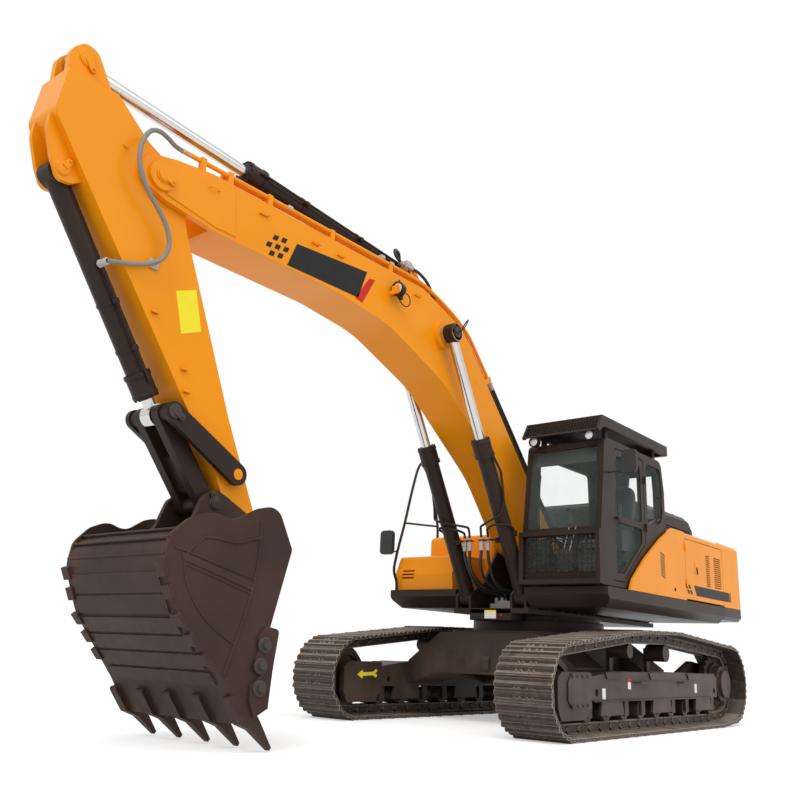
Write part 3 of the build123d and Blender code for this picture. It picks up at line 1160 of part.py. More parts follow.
def tooth(y):
    """A tapering tooth on the end of an adapter."""
    (x0, z0), (x1, z1) = [row[:2] for row in ADAPTER[:2]]
    wide = (x1 - x0, 0, z1 - z0)
    ahead = (z1 - z0, 0, x0 - x1)
    root_at = (SWING_X + (x0 + x1) / 2, y, (z0 + z1) / 2)
    with BuildSketch(Plane(origin=root_at, x_dir=wide, z_dir=ahead)) as root:
        Rectangle(hypot(x1 - x0, z1 - z0), 2 * TOOTH_HALF)
    tip_at = (SWING_X + TOOTH_TIP[0], y, TOOTH_TIP[1])
    with BuildSketch(Plane(origin=tip_at, x_dir=wide, z_dir=ahead)) as tip:
        Rectangle(26, 46)
    loft([root.sketch.faces()[0], tip.sketch.faces()[0]])


# side cutters with a scalloped inner edge
CUTTER = [
    (5010, 840, 30), (5042, 560, 0), (5060, 300, 0), (5165, 240, 0), (5215, 350, 0),
    (5215, 450, 30), (5130, 530, 30), (5195, 630, 30), (5150, 710, 28), (5185, 775, 28),
    (5120, 860, 25),
][::-1]
with BuildPart() as bucket_teeth:
    for _, s in SIDES:
        plate(CUTTER, (s * 600, s * 900))
    floor_plate(within(SEAT), (0, 2000), Mode.SUBTRACT)
    for _, s in SIDES:
        floor_plate(beyond(s, 24), (0, 2000), Mode.SUBTRACT)
    for y in TOOTH_Y:
        tooth(y)
save(bucket_teeth, "bucket_teeth")

# ---------------------------------------------------------------- hose over the arm's pivot
HOSE = [(PIPE_END[0] + 0.9, PIPE_Y[1], 4513.5), (6010, PIPE_Y[1], 4512.5), (6110, 255, 4525),
        (6215, 290, 4522), (6310, 314, 4475), (6365, 318, 4370), (6385, 317, 4250),
        (6355, 312, 4110), (6260, 306, 3970), (6140, 300, 3870), (6040, 292, 3760),
        (5995, 282, 3630), (6030, 265, 3510), (6130, 240, 3440), (6260, 228, 3395),
        (6370, 218, 3370), (PORT[0], 190, PORT[1]), (PORT[0], 100 + SEAT, PORT[1])]

HOSE_R = 19.0
with BuildPart() as arm_hose:
    pipe(HOSE, HOSE_R)
save(arm_hose, "arm_hose")
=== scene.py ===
"""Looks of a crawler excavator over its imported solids: enamel, worn steel, glass, hoses and small fittings.

Metres. +X is forward, +Y the operator's left, +Z up. Lengths along X are given from the swing axis,
which lies at SWING in the part's own frame.
"""

import json
from math import atan2, cos, hypot, pi, radians, sin

import bmesh
import bpy
import numpy as np
from mathutils import Matrix


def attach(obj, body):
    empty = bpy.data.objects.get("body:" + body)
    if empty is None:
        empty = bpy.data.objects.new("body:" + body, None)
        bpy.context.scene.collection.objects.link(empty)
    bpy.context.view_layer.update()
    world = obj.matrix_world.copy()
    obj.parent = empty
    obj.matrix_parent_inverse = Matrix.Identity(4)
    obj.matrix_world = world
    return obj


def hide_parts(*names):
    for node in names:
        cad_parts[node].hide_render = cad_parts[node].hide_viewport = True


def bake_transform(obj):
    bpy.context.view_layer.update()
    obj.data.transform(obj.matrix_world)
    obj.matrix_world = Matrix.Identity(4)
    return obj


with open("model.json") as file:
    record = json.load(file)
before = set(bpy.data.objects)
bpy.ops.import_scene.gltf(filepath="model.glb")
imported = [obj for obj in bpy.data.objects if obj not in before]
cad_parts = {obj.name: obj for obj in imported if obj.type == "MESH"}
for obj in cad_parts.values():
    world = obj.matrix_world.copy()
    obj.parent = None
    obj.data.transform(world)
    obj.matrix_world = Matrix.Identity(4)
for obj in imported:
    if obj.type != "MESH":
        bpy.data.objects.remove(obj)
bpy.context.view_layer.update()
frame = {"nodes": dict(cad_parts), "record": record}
SWING = -1.88
scene = bpy.context.scene
scene.view_settings.view_transform = "Standard"


# ---------------------------------------------------------------- camera
def place_camera(spot, heading, pitch, roll, lens):
    """A camera whose axes are the heading and pitch's own, turned by roll about the line of sight."""
    a, p, t = (radians(v) for v in (heading, pitch, roll))
    ahead = np.array([cos(a) * cos(p), sin(a) * cos(p), sin(p)])
    right = np.cross(ahead, (0, 0, 1))
    right /= np.linalg.norm(right)
    down = np.cross(ahead, right)
    across = cos(t) * right + sin(t) * down
    up = sin(t) * right - cos(t) * down
    data = bpy.data.cameras.new("camera")
    data.sensor_width = 36.0
    data.lens = lens
    data.clip_start, data.clip_end = 0.05, 400.0
    eye = bpy.data.objects.new("camera", data)
    turn = np.eye(4)
    turn[:3, 0], turn[:3, 1], turn[:3, 2], turn[:3, 3] = across, up, -ahead, spot
    eye.matrix_world = Matrix(turn.tolist())
    scene.collection.objects.link(eye)
    scene.camera = eye


place_camera(spot=(7.664, 5.553, 0.716), heading=219.514, pitch=16.184, roll=-2.381, lens=39.15)


# ---------------------------------------------------------------- shader maths
class Value:
    """A socket of a material's nodes; sums on it add Math nodes."""

    def __init__(self, finish, socket):
        self.finish, self.socket = finish, socket

    def maths(self, operation, *values):
        return self.finish.node("ShaderNodeMath", {"operation": operation}, dict(enumerate(values)))

    def __add__(self, other):
        return self.maths("ADD", self, other)

    def __sub__(self, other):
        return self.maths("SUBTRACT", self, other)

    def __mul__(self, other):
        return self.maths("MULTIPLY", self, other)

    def __rsub__(self, other):
        return self.maths("SUBTRACT", other, self)

    __radd__ = __add__
    __rmul__ = __mul__

    def least(self, other):
        return self.maths("MINIMUM", self, other)

    def most(self, other):
        return self.maths("MAXIMUM", self, other)

    def above(self, low, high):
        """0 below low, 1 above high, smooth between."""
        return self.finish.node("ShaderNodeMapRange", {"interpolation_type": "SMOOTHSTEP"},
                                {"Value": self, "From Min": low, "From Max": high})


class Finish:
    """A material: every node comes from node(), and surface() joins them to the shader."""

    def __init__(self, name):
        self.material = bpy.data.materials.new(name)
        self.material.use_nodes = True
        self.tree = self.material.node_tree
        self.tree.nodes.clear()
        self.out = self.tree.nodes.new("ShaderNodeOutputMaterial")

    def node(self, kind, settings=(), inputs=(), out=0):
        made = self.tree.nodes.new(kind)
        for key, setting in dict(settings).items():
            if key == "stops":
                stops = made.color_ramp.elements
                while len(stops) < len(setting):
                    stops.new(0.5)
                for stop, (at, colour) in zip(stops, setting):
                    stop.position, stop.color = at, colour
            else:
                setattr(made, key, setting)
        for key, value in dict(inputs).items():
            if isinstance(value, Value):
                self.tree.links.new(value.socket, made.inputs[key])
            else:
                made.inputs[key].default_value = value
        return Value(self, made.outputs[out])

    def place(self, scale=(1, 1, 1)):
        """Object coordinates, stretched by scale."""
        spot = self.node("ShaderNodeTexCoord", out="Object")
        return self.node("ShaderNodeVectorMath", {"operation": "MULTIPLY"}, {0: spot, 1: scale})

    def axes(self):
        """The three object coordinates."""
        spot = self.node("ShaderNodeTexCoord", out="Object")
        return [self.node("ShaderNodeSeparateXYZ", inputs={0: spot}, out=k) for k in range(3)]

    def facing(self):
        """Height part of the surface's own direction: 1 faces up."""
        way = self.node("ShaderNodeNewGeometry", out="Normal")
        return self.node("ShaderNodeSeparateXYZ", inputs={0: way}, out=2)

    def noise(self, scale, detail=4.0, rough=0.55, stretch=(1, 1, 1)):
        return self.node("ShaderNodeTexNoise", inputs={
            "Vector": self.place(stretch), "Scale": scale, "Detail": detail, "Roughness": rough})

    def cells(self, scale, stretch=(1, 1, 1)):
        return self.node("ShaderNodeTexVoronoi", inputs={"Vector": self.place(stretch), "Scale": scale})

    def mix(self, share, first, second):
        return self.node("ShaderNodeMix", {"data_type": "RGBA"}, {0: share, 6: first, 7: second}, 2)

    def bump(self, height, depth, strength=1.0, rounded=None):
        inputs = {"Height": height, "Distance": depth, "Strength": strength}
        if rounded is not None:
            inputs["Normal"] = rounded
        return self.node("ShaderNodeBump", inputs=inputs)

    def rounded(self, radius):
        """The surface's direction with its sharp edges eased by a radius."""
        return self.node("ShaderNodeBevel", {"samples": 4}, {"Radius": radius})

    def edges(self, radius):
        """1 on sharp edges within a radius, 0 on open faces."""
        way = self.node("ShaderNodeNewGeometry", out="Normal")
        same = self.node("ShaderNodeVectorMath", {"operation": "DOT_PRODUCT"},
                         {0: self.rounded(radius), 1: way}, 1)
        return (1 - same).above(0.02, 0.25)

    def surface(self, **sockets):
        """Joins colours, roughness and the rest to one Principled shader."""
        shader = self.node("ShaderNodeBsdfPrincipled", inputs={
            key.replace("_", " ").title().replace("Ior", "IOR"): value
            for key, value in sockets.items()})
        self.tree.links.new(shader.socket, self.out.inputs["Surface"])
        return self.material


def rgb(r, g, b):
    return (r, g, b, 1.0)


# ---------------------------------------------------------------- finishes
DECK_TOP = 1.462           # the counterweight is dark up to the decks' top
DUST = rgb(0.33, 0.27, 0.21)
# lighter than the dark paint: road dirt and painted light, brightening the low track frames as if strongly
# lit
LOW_DIRT_AND_PAINTED_LIGHT = rgb(0.125, 0.085, 0.062)


def enamel(name, colour, rough, dust, coat=0.0, tint=0.05, ease=0.004, low=0.0, dark_foot=False):
    """Sprayed enamel: faint clouds of tone, fine orange peel, dust on what faces up, and, when low is given,
    lighter patches low down that are road dirt and painted light.
    """
    f = Finish(name)
    dark = tuple(c * (1 - 2.2 * tint) for c in colour[:3]) + (1.0,)
    clouds = f.noise(0.9, 3.0).above(0.35, 0.7)
    paint = f.mix(clouds, colour, dark)
    if dark_foot:
        paint = f.mix(f.axes()[2].above(DECK_TOP, DECK_TOP + 0.002), BROWN, paint)
    settled = f.facing().above(0.3, 0.95) * f.noise(7.0, 6.0).above(0.35, 0.75) * dust
    specks = f.noise(38.0, 5.0).above(0.62, 0.78) * (dust * 0.5)
    # low down, the paint turns lighter in patches: road dirt and painted light standing in for strong light
    # on the track frames
    if low:
        level = f.axes()[2]
        low_dirt_and_painted_light = (1 - level.above(0.55, 1.15)) * f.noise(2.6, 5.0).above(0.15, 0.75) * low
        paint = f.mix(low_dirt_and_painted_light, paint, LOW_DIRT_AND_PAINTED_LIGHT)
    paint = f.mix(settled + specks, paint, DUST)
    gloss = rough + f.noise(4.0, 5.0) * 0.12 + settled * 0.3
    peel = f.noise(160.0, 2.0)
    return f.surface(base_color=paint, roughness=gloss, coat_weight=coat, coat_roughness=0.12,
                     specular_ior_level=0.16 if coat else 0.17,
                     normal=f.bump(peel, 0.0006, 0.25, f.rounded(ease)))


def scuffed(name, colour, bare):
    """Dark enamel worn to bare metal along edges and in long scratches."""
    f = Finish(name)
    worn = f.edges(0.012) * f.noise(9.0, 5.0).above(0.35, 0.6)
    scratch = f.noise(3.0, 8.0, 0.7, (1.0, 9.0, 1.6)).above(0.64, 0.72) * 0.35
    paint = f.mix(f.noise(1.6, 4.0).above(0.3, 0.7), colour, tuple(c * 1.5 for c in colour[:3]) + (1,))
    paint = f.mix((worn + scratch).least(1.0) * 0.75, paint, bare)
    rough = 0.44 + f.noise(14.0, 5.0) * 0.2
    return f.surface(base_color=paint, roughness=rough, specular_ior_level=0.16,
                     normal=f.bump(f.noise(60.0, 5.0), 0.0012, 0.35, f.rounded(0.006)))


# wheels that the track runs round: (x, z, radius to the shoe plates' inner face)
WHEELS = np.array([(-1.7, 0.24, 0.2), (2.08, 0.44, 0.4), (0.5, 0.83, 0.18), (-0.46, 0.83, 0.2),
                   (-2.12, 0.5, 0.425)])


def track_steel():
    """Dusty rolled steel: bare along the ribs' worn edges, with dust lying on what faces up."""
    f = Finish("track_steel")
    grain = f.noise(14.0, 5.0, 0.6)
    wear = f.edges(0.017) * f.noise(7.0, 4.0).above(0.1, 0.45)
    dust = f.facing().above(0.45, 1.0) * f.noise(5.0, 4.0).above(0.2, 0.6)
    steel = f.mix(grain.above(0.35, 0.7), rgb(0.030, 0.020, 0.014), rgb(0.062, 0.043, 0.031))
    steel = f.mix(dust * 0.8, steel, rgb(0.36, 0.285, 0.225))
    steel = f.mix(wear * 0.85, steel, rgb(0.56, 0.45, 0.36))
    return f.surface(base_color=steel, roughness=0.50 - wear * 0.12 + grain * 0.15, metallic=wear * 0.45,
                     specular_ior_level=0.35,
                     normal=f.bump(grain, 0.0008, 0.3, f.rounded(0.003)))


def chrome():
    """Hard chrome with faint bands along the stroke."""
    f = Finish("rod_chrome")
    bands = f.noise(2.0, 6.0, 0.6, (6.0, 1.0, 6.0))
    return f.surface(base_color=f.mix(bands, rgb(0.50, 0.485, 0.47), rgb(0.64, 0.63, 0.61)),
                     metallic=1.0, roughness=0.12 + bands * 0.1)


def glazing():
    """Clear safety glass, faintly green, seen through by its alpha."""
    f = Finish("glazing")
    smear = f.noise(2.2, 5.0).above(0.35, 0.8)
    return f.surface(base_color=f.mix(smear, rgb(0.34, 0.50, 0.46), rgb(0.42, 0.58, 0.54)),
                     roughness=0.02 + smear * 0.05, alpha=0.035 + smear * 0.03,
                     specular_ior_level=0.6, ior=1.5)


def braided(name, colour, pitch=420.0):
    """Hose cover: a crossed braid with dusty tone."""
    f = Finish(name)
    x, y, z = f.axes()
    cross = ((x + y + z) * pitch).maths("SINE", (x + y + z) * pitch)
    other = (x - y - z) * pitch
    other = other.maths("SINE", other)
    tone = f.noise(12.0, 4.0)
    light = tuple(min(1, c * 1.35) for c in colour[:3]) + (1,)
    return f.surface(base_color=f.mix(tone, colour, light), roughness=0.5 + tone * 0.15,
                     normal=f.bump(cross * other, 0.0008, 0.5))


def cloth(name, colour):
    """Woven seat cloth: two crossed sets of threads."""
    f = Finish(name)
    x, y, z = f.axes()
    warp = y * 2600.0
    weft = (x + z) * 2600.0
    weave = warp.maths("SINE", warp) * weft.maths("SINE", weft)
    light = tuple(min(1, c * 2.0) for c in colour[:3]) + (1,)
    return f.surface(base_color=f.mix(weave.above(-0.2, 0.8), colour, light), roughness=0.9,
                     sheen_weight=0.3, normal=f.bump(weave, 0.0005, 0.6))


def grained(name, colour, rough=0.55):
    """Moulded plastic or rubber with a fine grain."""
    f = Finish(name)
    grain = f.cells(420.0)
    tone = f.noise(5.0, 4.0)
    light = tuple(min(1, c * 1.5) for c in colour[:3]) + (1,)
    return f.surface(base_color=f.mix(tone, colour, light), roughness=rough + tone * 0.1,
                     specular_ior_level=0.35, normal=f.bump(grain, 0.0004, 0.4, f.rounded(0.002)))


def print_film(name, colour):
    """A printed film: flat colour with faint fading and a soft gloss."""
    f = Finish(name)
    fade = f.noise(9.0, 4.0)
    light = tuple(min(1, c * 1.15 + 0.01) for c in colour[:3]) + (1,)
    return f.surface(base_color=f.mix(fade, colour, light), roughness=0.35 + fade * 0.1,
                     specular_ior_level=0.12)


def lamp_lens():
    """A lamp's ribbed clear lens over its bright reflector."""
    f = Finish("lamp_lens")
    x, y, z = f.axes()
    ribs = y * 500.0
    ribs = ribs.maths("SINE", ribs)
    return f.surface(base_color=f.mix(ribs.above(-1, 1), rgb(0.62, 0.64, 0.66), rgb(0.85, 0.86, 0.88)),
                     metallic=0.25, roughness=0.14, coat_weight=1.0, normal=f.bump(ribs, 0.001, 0.3))


ORANGE = rgb(0.93, 0.315, 0.004)
BROWN = rgb(0.031, 0.0185, 0.0135)
FINISHES = {
    "body_paint": enamel("body_paint", ORANGE, 0.24, 0.015, 0.04, 0.025),
    "cast_weight": enamel("cast_weight", ORANGE, 0.3, 0.02, 0.03, 0.03, 0.008, dark_foot=True),
    # the 0.6 here lightens dark paint low down: road dirt and painted light on the track frames
    "dark_paint": enamel("dark_paint", BROWN, 0.36, 0.04, 0.0, 0.1, 0.004, 0.6),
    "bucket_steel": scuffed("bucket_steel", rgb(0.040, 0.0215, 0.0150), rgb(0.12, 0.085, 0.065)),
    "track_steel": track_steel(),
    "rod_chrome": chrome(),
    "glazing": glazing(),
    "seat_cloth": cloth("seat_cloth", rgb(0.035, 0.035, 0.04)),
    "trim_plastic": grained("trim_plastic", rgb(0.022, 0.022, 0.023)),
    "hose_rubber": braided("hose_rubber", rgb(0.20, 0.185, 0.17)),
    "engine_paint": enamel("engine_paint", rgb(0.16, 0.16, 0.16), 0.5, 0.3),
    "black_hose": grained("black_hose", rgb(0.014, 0.013, 0.013), 0.42),
    "zinc": grained("zinc", rgb(0.38, 0.36, 0.33), 0.35),
    "white_film": print_film("white_film", rgb(0.75, 0.74, 0.71)),
    "yellow_film": print_film("yellow_film", rgb(0.86, 0.72, 0.03)),
    "black_film": print_film("black_film", rgb(0.012, 0.012, 0.013)),
    "red_film": print_film("red_film", rgb(0.55, 0.02, 0.015)),
    "lamp_lens": lamp_lens(),
    "bolt_steel": enamel("bolt_steel", rgb(0.07, 0.055, 0.045), 0.42, 0.2),
}
for row in frame["record"]["subparts"]:
    solid = frame["nodes"][row["node"]]
    solid.data.materials.clear()
    solid.data.materials.append(FINISHES[row["material_slot"]])


# ---------------------------------------------------------------- shapes
def at(x, y, z):
    """A point given from the swing axis."""
    return np.array([SWING + x, y, z], float)


def unit(v):
    return v / np.linalg.norm(v, axis=-1, keepdims=True)


def across(way):
    """Two directions square to each of an array of directions."""
    way = np.atleast_2d(way)
    helper = np.where(np.abs(way[:, 1:2]) < 0.9, [[0.0, 1.0, 0.0]], [[1.0, 0.0, 0.0]])
    u = unit(np.cross(helper, way))
    return u, np.cross(way, u)


def rings(rows, columns):
    """Faces between neighbouring rings of a grid whose columns close on themselves."""
    i, j = np.meshgrid(np.arange(rows - 1), np.arange(columns), indexing="ij")
    k = (j + 1) % columns
    return np.stack([i * columns + j, i * columns + k, (i + 1) * columns + k,
                     (i + 1) * columns + j], -1).reshape(-1, 4)


def turned(start, end, rows, sides=24):
    """Rows of (distance, radius) turned about a line: p = start + s d + r (u cos t + v sin t)."""
    start, end = np.asarray(start, float), np.asarray(end, float)
    d = unit(end - start)
    u, v = across(d)
    s, r = np.array(rows, float).T
    t = np.arange(sides) * 2 * pi / sides
    circle = np.cos(t)[:, None] * u + np.sin(t)[:, None] * v
    p = start + s[:, None, None] * d + r[:, None, None] * circle
    return p.reshape(-1, 3), rings(len(s), sides)


def bushing(start, end, radius, sides=24, ease=0.15):
    """A round bar with eased ends: a turned profile of four radii."""
    length = float(np.linalg.norm(np.asarray(end, float) - start))
    b = min(radius * ease, length * 0.3)
    return turned(start, end, [(0, 0), (0, radius - b), (b, radius), (length - b, radius),
                               (length, radius - b), (length, 0)], sides)


def block(low, high, r=0.006, n=3):
    """A rounded block: p = middle + sign(m) (half - r) + r m, for m over the unit sphere."""
    low, high = np.asarray(low, float), np.asarray(high, float)
    half = (high - low) / 2
    r = min(r, half.min() * 0.98)
    arc = np.linspace(0.0, pi / 2, n + 1)
    lat = np.concatenate([-pi / 2 + arc, arc])
    lon = np.concatenate([q * pi / 2 + arc for q in range(4)])
    up = np.repeat([-1.0, 1.0], n + 1)
    sx = np.repeat([1.0, -1.0, -1.0, 1.0], n + 1)
    sy = np.repeat([1.0, 1.0, -1.0, -1.0], n + 1)
    m = np.stack([np.cos(lat)[:, None] * np.cos(lon), np.cos(lat)[:, None] * np.sin(lon),
                  np.repeat(np.sin(lat)[:, None], len(lon), 1)], -1)
    corner = np.stack([np.repeat(sx[None], len(lat), 0), np.repeat(sy[None], len(lat), 0),
                       np.repeat(up[:, None], len(lon), 1)], -1)
    p = (low + high) / 2 + corner * (half - r) + r * m
    return p.reshape(-1, 3), rings(len(lat), len(lon))


def slab(x, y, z, r=0.006, n=2):
    """A rounded block between limits, with x from the swing axis."""
    return block((SWING + min(x), min(y), min(z)), (SWING + max(x), max(y), max(z)), r, n)


def pushed(outline, first, second):
    """A closed outline (rows of points) and its copy joined by a wall, both ends closed."""
    a, b = np.asarray(first, float), np.asarray(second, float)
    outline = np.asarray(outline, float)
    n = len(outline)
    p = np.concatenate([outline + a, outline + b])
    ends = [list(range(n))[::-1], list(range(n, 2 * n))]
    return p, [list(q) for q in rings(2, n).tolist()] + ends


def side_plate(rows, y):
    """A flat plate with a side-view outline of (x, z) rows between two values of y."""
    line = np.array([(SWING + x, 0.0, z) for x, z in rows])
    return pushed(line, (0, y[0], 0), (0, y[1], 0))


def carried(points, section, up=(0, 0, 1)):
    """A closed section of (side, up) rows carried along points and closed at both ends."""
    p = np.asarray(points, float)
    way = unit(np.gradient(p, axis=0))
    right = unit(np.cross(np.asarray(up, float), way))
    top = np.cross(way, right)
    a, b = np.asarray(section, float).T
    grid = p[:, None] + right[:, None] * a[:, None] + top[:, None] * b[:, None]
    m = len(a)
    walls = rings(len(p), m).tolist()
    last = (len(p) - 1) * m
    return grid.reshape(-1, 3), walls + [list(range(m))[::-1], list(range(last, last + m))]


def spread(shape, places, ways):
    """Copies of a shape made about the origin, its Z turned to each way: p = place + x u + y v + z w."""
    verts, faces = shape
    places, ways = np.atleast_2d(places).astype(float), unit(np.atleast_2d(ways).astype(float))
    ways = np.broadcast_to(ways, places.shape)
    u, v = across(ways)
    p = (places[:, None] + verts[None, :, :1] * u[:, None] + verts[None, :, 1:2] * v[:, None]
         + verts[None, :, 2:] * ways[:, None])
    step = np.arange(len(places)) * len(verts)
    if isinstance(faces, np.ndarray):
        return p.reshape(-1, 3), (faces[None] + step[:, None, None]).reshape(-1, faces.shape[1])
    return p.reshape(-1, 3), [[i + int(s) for i in face] for s in step for face in faces]


def bolt(radius, height):
    """A hex head over its washer, standing on z = 0."""
    head = turned((0, 0, 0), (0, 0, 1), [(height * 0.2, radius), (height * 0.88, radius),
                                        (height, radius * 0.84), (height, 0)], 6)
    washer = turned((0, 0, 0), (0, 0, 1), [(-0.002, radius * 1.3), (height * 0.2, radius * 1.3),
                                          (height * 0.2, radius * 0.8)], 12)
    return together([head, washer])


def together(shapes):
    """Several shapes as one list of points and faces."""
    points, faces, start = [], [], 0
    for verts, quads in shapes:
        points.append(verts)
        rows = quads.tolist() if isinstance(quads, np.ndarray) else quads
        faces += [[i + start for i in row] for row in rows]
        start += len(verts)
    return np.concatenate(points), faces


def smooth_run(points, radius, order=3, around=5, along=5):
    """A tube on one smooth line that the points guide."""
    data = bpy.data.curves.new("run", "CURVE")
    data.dimensions = "3D"
    data.bevel_depth, data.bevel_resolution = radius, around
    data.resolution_u, data.use_fill_caps = along, True
    spline = data.splines.new("NURBS")
    spline.points.add(len(points) - 1)
    for row, p in zip(spline.points, points):
        row.co = (*p, 1.0)
    spline.order_u, spline.use_endpoint_u = order, True
    holder = bpy.data.objects.new("run", data)
    scene.collection.objects.link(holder)
    bpy.context.view_layer.update()
    mesh = bpy.data.meshes.new_from_object(holder.evaluated_get(bpy.context.evaluated_depsgraph_get()))
    verts = np.array([v.co[:] for v in mesh.vertices])
    faces = [list(face.vertices) for face in mesh.polygons]
    bpy.data.objects.remove(holder)
    bpy.data.curves.remove(data)
    bpy.data.meshes.remove(mesh)
    return verts, faces


SLOTS = {row["slot"] for row in frame["record"]["materials"]}
SHARP = radians(35.0)      # edges that turn by more than this stay sharp


def piece(name, shapes, finish, body):
    """One object from shapes: doubles merged, faces outwards, riding on a body."""
    verts, faces = together(shapes)
    mesh = bpy.data.meshes.new(name)
    mesh.from_pydata(verts.tolist(), [], faces)
    work = bmesh.new()
    work.from_mesh(mesh)
    bmesh.ops.remove_doubles(work, verts=work.verts, dist=1e-6)
    bmesh.ops.recalc_face_normals(work, faces=work.faces)
    for face in work.faces:
        face.smooth = True
    for edge in work.edges:
        if len(edge.link_faces) == 2 and edge.calc_face_angle(0.0) > SHARP:
            edge.smooth = False
    work.to_mesh(mesh)
    work.free()
    made = bpy.data.objects.new(name, mesh)
    scene.collection.objects.link(made)
    made.data.materials.append(FINISHES[finish])
    if body:
        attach(made, body)
    finish in SLOTS
    return made


# ---------------------------------------------------------------- tracks: shoe bolts
SIDES = (("left", 1), ("right", -1))
GAUGE = 2.6
AIMED_PITCH = 0.216 * 1.045    # of the shoes, before their number is rounded
BOLT_SEAT = 0.0175             # from the shoe plates' inner face to the bolts' seat


def shoe_places():
    """Middles, outward ways and pitch of the shoes on the hull of the wheels.

    p = c + r n for the wheel that reaches furthest along n.
    """
    angle = np.linspace(-pi / 2, 1.5 * pi, 40001)
    n = np.stack([np.cos(angle), np.sin(angle)], -1)
    reach = n @ WHEELS[:, :2].T + WHEELS[:, 2]
    wheel = reach.argmax(1)
    wheel[0] = 0
    p = WHEELS[wheel, :2] + WHEELS[wheel, 2:] * n
    length = np.concatenate([[0], np.cumsum(np.linalg.norm(np.diff(p, axis=0), axis=1))])
    count = round(length[-1] / AIMED_PITCH)
    mark = (np.arange(count) + 0.5) * length[-1] / count
    turn = np.interp(mark, length, angle)
    spot = np.stack([np.interp(mark, length, p[:, 0]), np.interp(mark, length, p[:, 1])], -1)
    return spot, np.stack([np.cos(turn), np.sin(turn)], -1), length[-1] / count


spots, ways, pitch = shoe_places()
for side, s in SIDES:
    places, heads = [], []
    for share in (-0.19, 0.17):
        for y in (-0.09, -0.04, 0.04, 0.09):
            x = spots[:, 0] + ways[:, 1] * share * pitch + ways[:, 0] * BOLT_SEAT
            z = spots[:, 1] - ways[:, 0] * share * pitch + ways[:, 1] * BOLT_SEAT
            places.append(np.stack([SWING + x, np.full(len(x), s * GAUGE / 2 + y), z], -1))
            heads.append(np.stack([ways[:, 0], np.zeros(len(x)), ways[:, 1]], -1))
    piece(f"shoe_bolts_{side}", [spread(bolt(0.015, 0.012), np.concatenate(places),
                                        np.concatenate(heads))], "track_steel", "undercarriage")


# ---------------------------------------------------------------- small fittings
def ferrule(start, way, r):
    """A hose end: a hex nut, then a crimped sleeve with two grooves."""
    start, way = np.asarray(start, float), unit(np.asarray(way, float))
    nut = turned(start, start + way, [(0, 0), (0, 1.5 * r), (0.1 * r, 1.75 * r), (1.5 * r, 1.75 * r),
                                      (1.6 * r, 1.5 * r), (1.6 * r, r)], 6)
    rows = [(1.5 * r, r), (1.6 * r, 1.25 * r), (2.2 * r, 1.42 * r), (3.2 * r, 1.42 * r),
            (3.3 * r, 1.28 * r), (3.6 * r, 1.28 * r), (3.7 * r, 1.42 * r), (4.6 * r, 1.42 * r),
            (4.9 * r, 1.05 * r), (4.9 * r, 0.9 * r)]
    return [nut, turned(start, start + way, rows, 16)]


def ring_of(middle, way, radius, count):
    """Places evenly round a circle about a line: p = middle + radius (u cos t + v sin t)."""
    u, v = across(unit(np.asarray(way, float)))
    t = np.radians((np.arange(count) + 0.5) * 360.0 / count)
    return np.asarray(middle, float) + radius * (np.cos(t)[:, None] * u + np.sin(t)[:, None] * v)


def lock_plate(x, z, y, s, radius, turn):
    """A pin's end: a domed washer, its lock plate and a bolt, on a face at y looking along s."""
    c = at(x, s * y, z)
    way = np.array([0.0, s, 0.0])
    a = radians(turn)
    u, b = np.array([cos(a), 0, sin(a)]), np.array([-sin(a), 0, cos(a)])
    tip = c + u * radius * 1.45
    shapes = [turned(c, c + way, [(0, radius * 1.12), (0.008, radius * 1.12), (0.012, radius * 1.05),
                                  (0.012, radius * 0.5), (0.016, radius * 0.45), (0.016, 0)], 32)]
    line = [c + u * i * radius + b * j * radius for i, j in
            ((0.2, -0.5), (1.5, -0.5), (1.85, -0.3), (1.95, 0), (1.85, 0.3), (1.5, 0.5), (0.2, 0.5))]
    shapes.append(pushed(line, way * 0.010, way * 0.022))
    shapes.append(spread(bolt(radius * 0.2, 0.014), [tip + way * 0.022], [way]))
    return shapes


def tube(points, radius, order=3, along=5):
    """A bent pipe through points given from the swing axis."""
    return smooth_run([at(*p) for p in points], radius, order, 4, along)


def stud(start, way, radius, height, top, crown, sides):
    """A round boss along way, eased from radius at height to crown at its top."""
    rows = [(0, radius), (height, radius), (top, crown), (top, 0)]
    return turned(start, start + np.asarray(way, float), rows, sides)


def bent(points, radius, bend=0.06):
    """A steel pipe: straight runs with tight bends, made by doubling the guide points near each corner."""
    p = [np.array(q, float) for q in points]
    rows = [p[0]]
    for a, b, c in zip(p, p[1:], p[2:]):
        for q, other in ((a, 0), (c, 1)):
            reach = min(bend, 0.45 * np.linalg.norm(q - b))
            rows.append(b + unit(q - b) * reach)
            if not other:
                rows.append(b)
    rows.append(p[-1])
    return smooth_run([at(*q) for q in rows], radius, 3, 4, 4)


def hose(name, route, radius, finish="black_hose", body=None, blend=None, replaces=None):
    """A free hose or wire: a round tube on one smooth line guided by its route."""
    points = [at(*p) for p in route]
    line = smooth_run(points, 0.0, 3, 0, 12)[0]
    made = piece(name, [smooth_run(points, radius, 3, 4, 6)], finish, body)
    if replaces:
        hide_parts(replaces)
    if blend:
        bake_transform(made)
    return made


# ---------------------------------------------------------------- digging gear
FOOT, EYE = np.array([0.95, 1.36]), np.array([2.44, 4.03])
BOOM_CYLINDER = unit(EYE - FOOT)
ARM_FOOT, ARM_CYLINDER = np.array([2.9, 4.65]), unit(np.array([3.9, 0.24]))
BUCKET_FOOT, BUCKET_CYLINDER = np.array([6.85, 3.94]), unit(np.array([-1.09, -1.56]))
CYLINDER_Y = 0.3685


def on_rod(foot, way, distance):
    """(x, z) at a distance along a cylinder."""
    return foot + way * distance


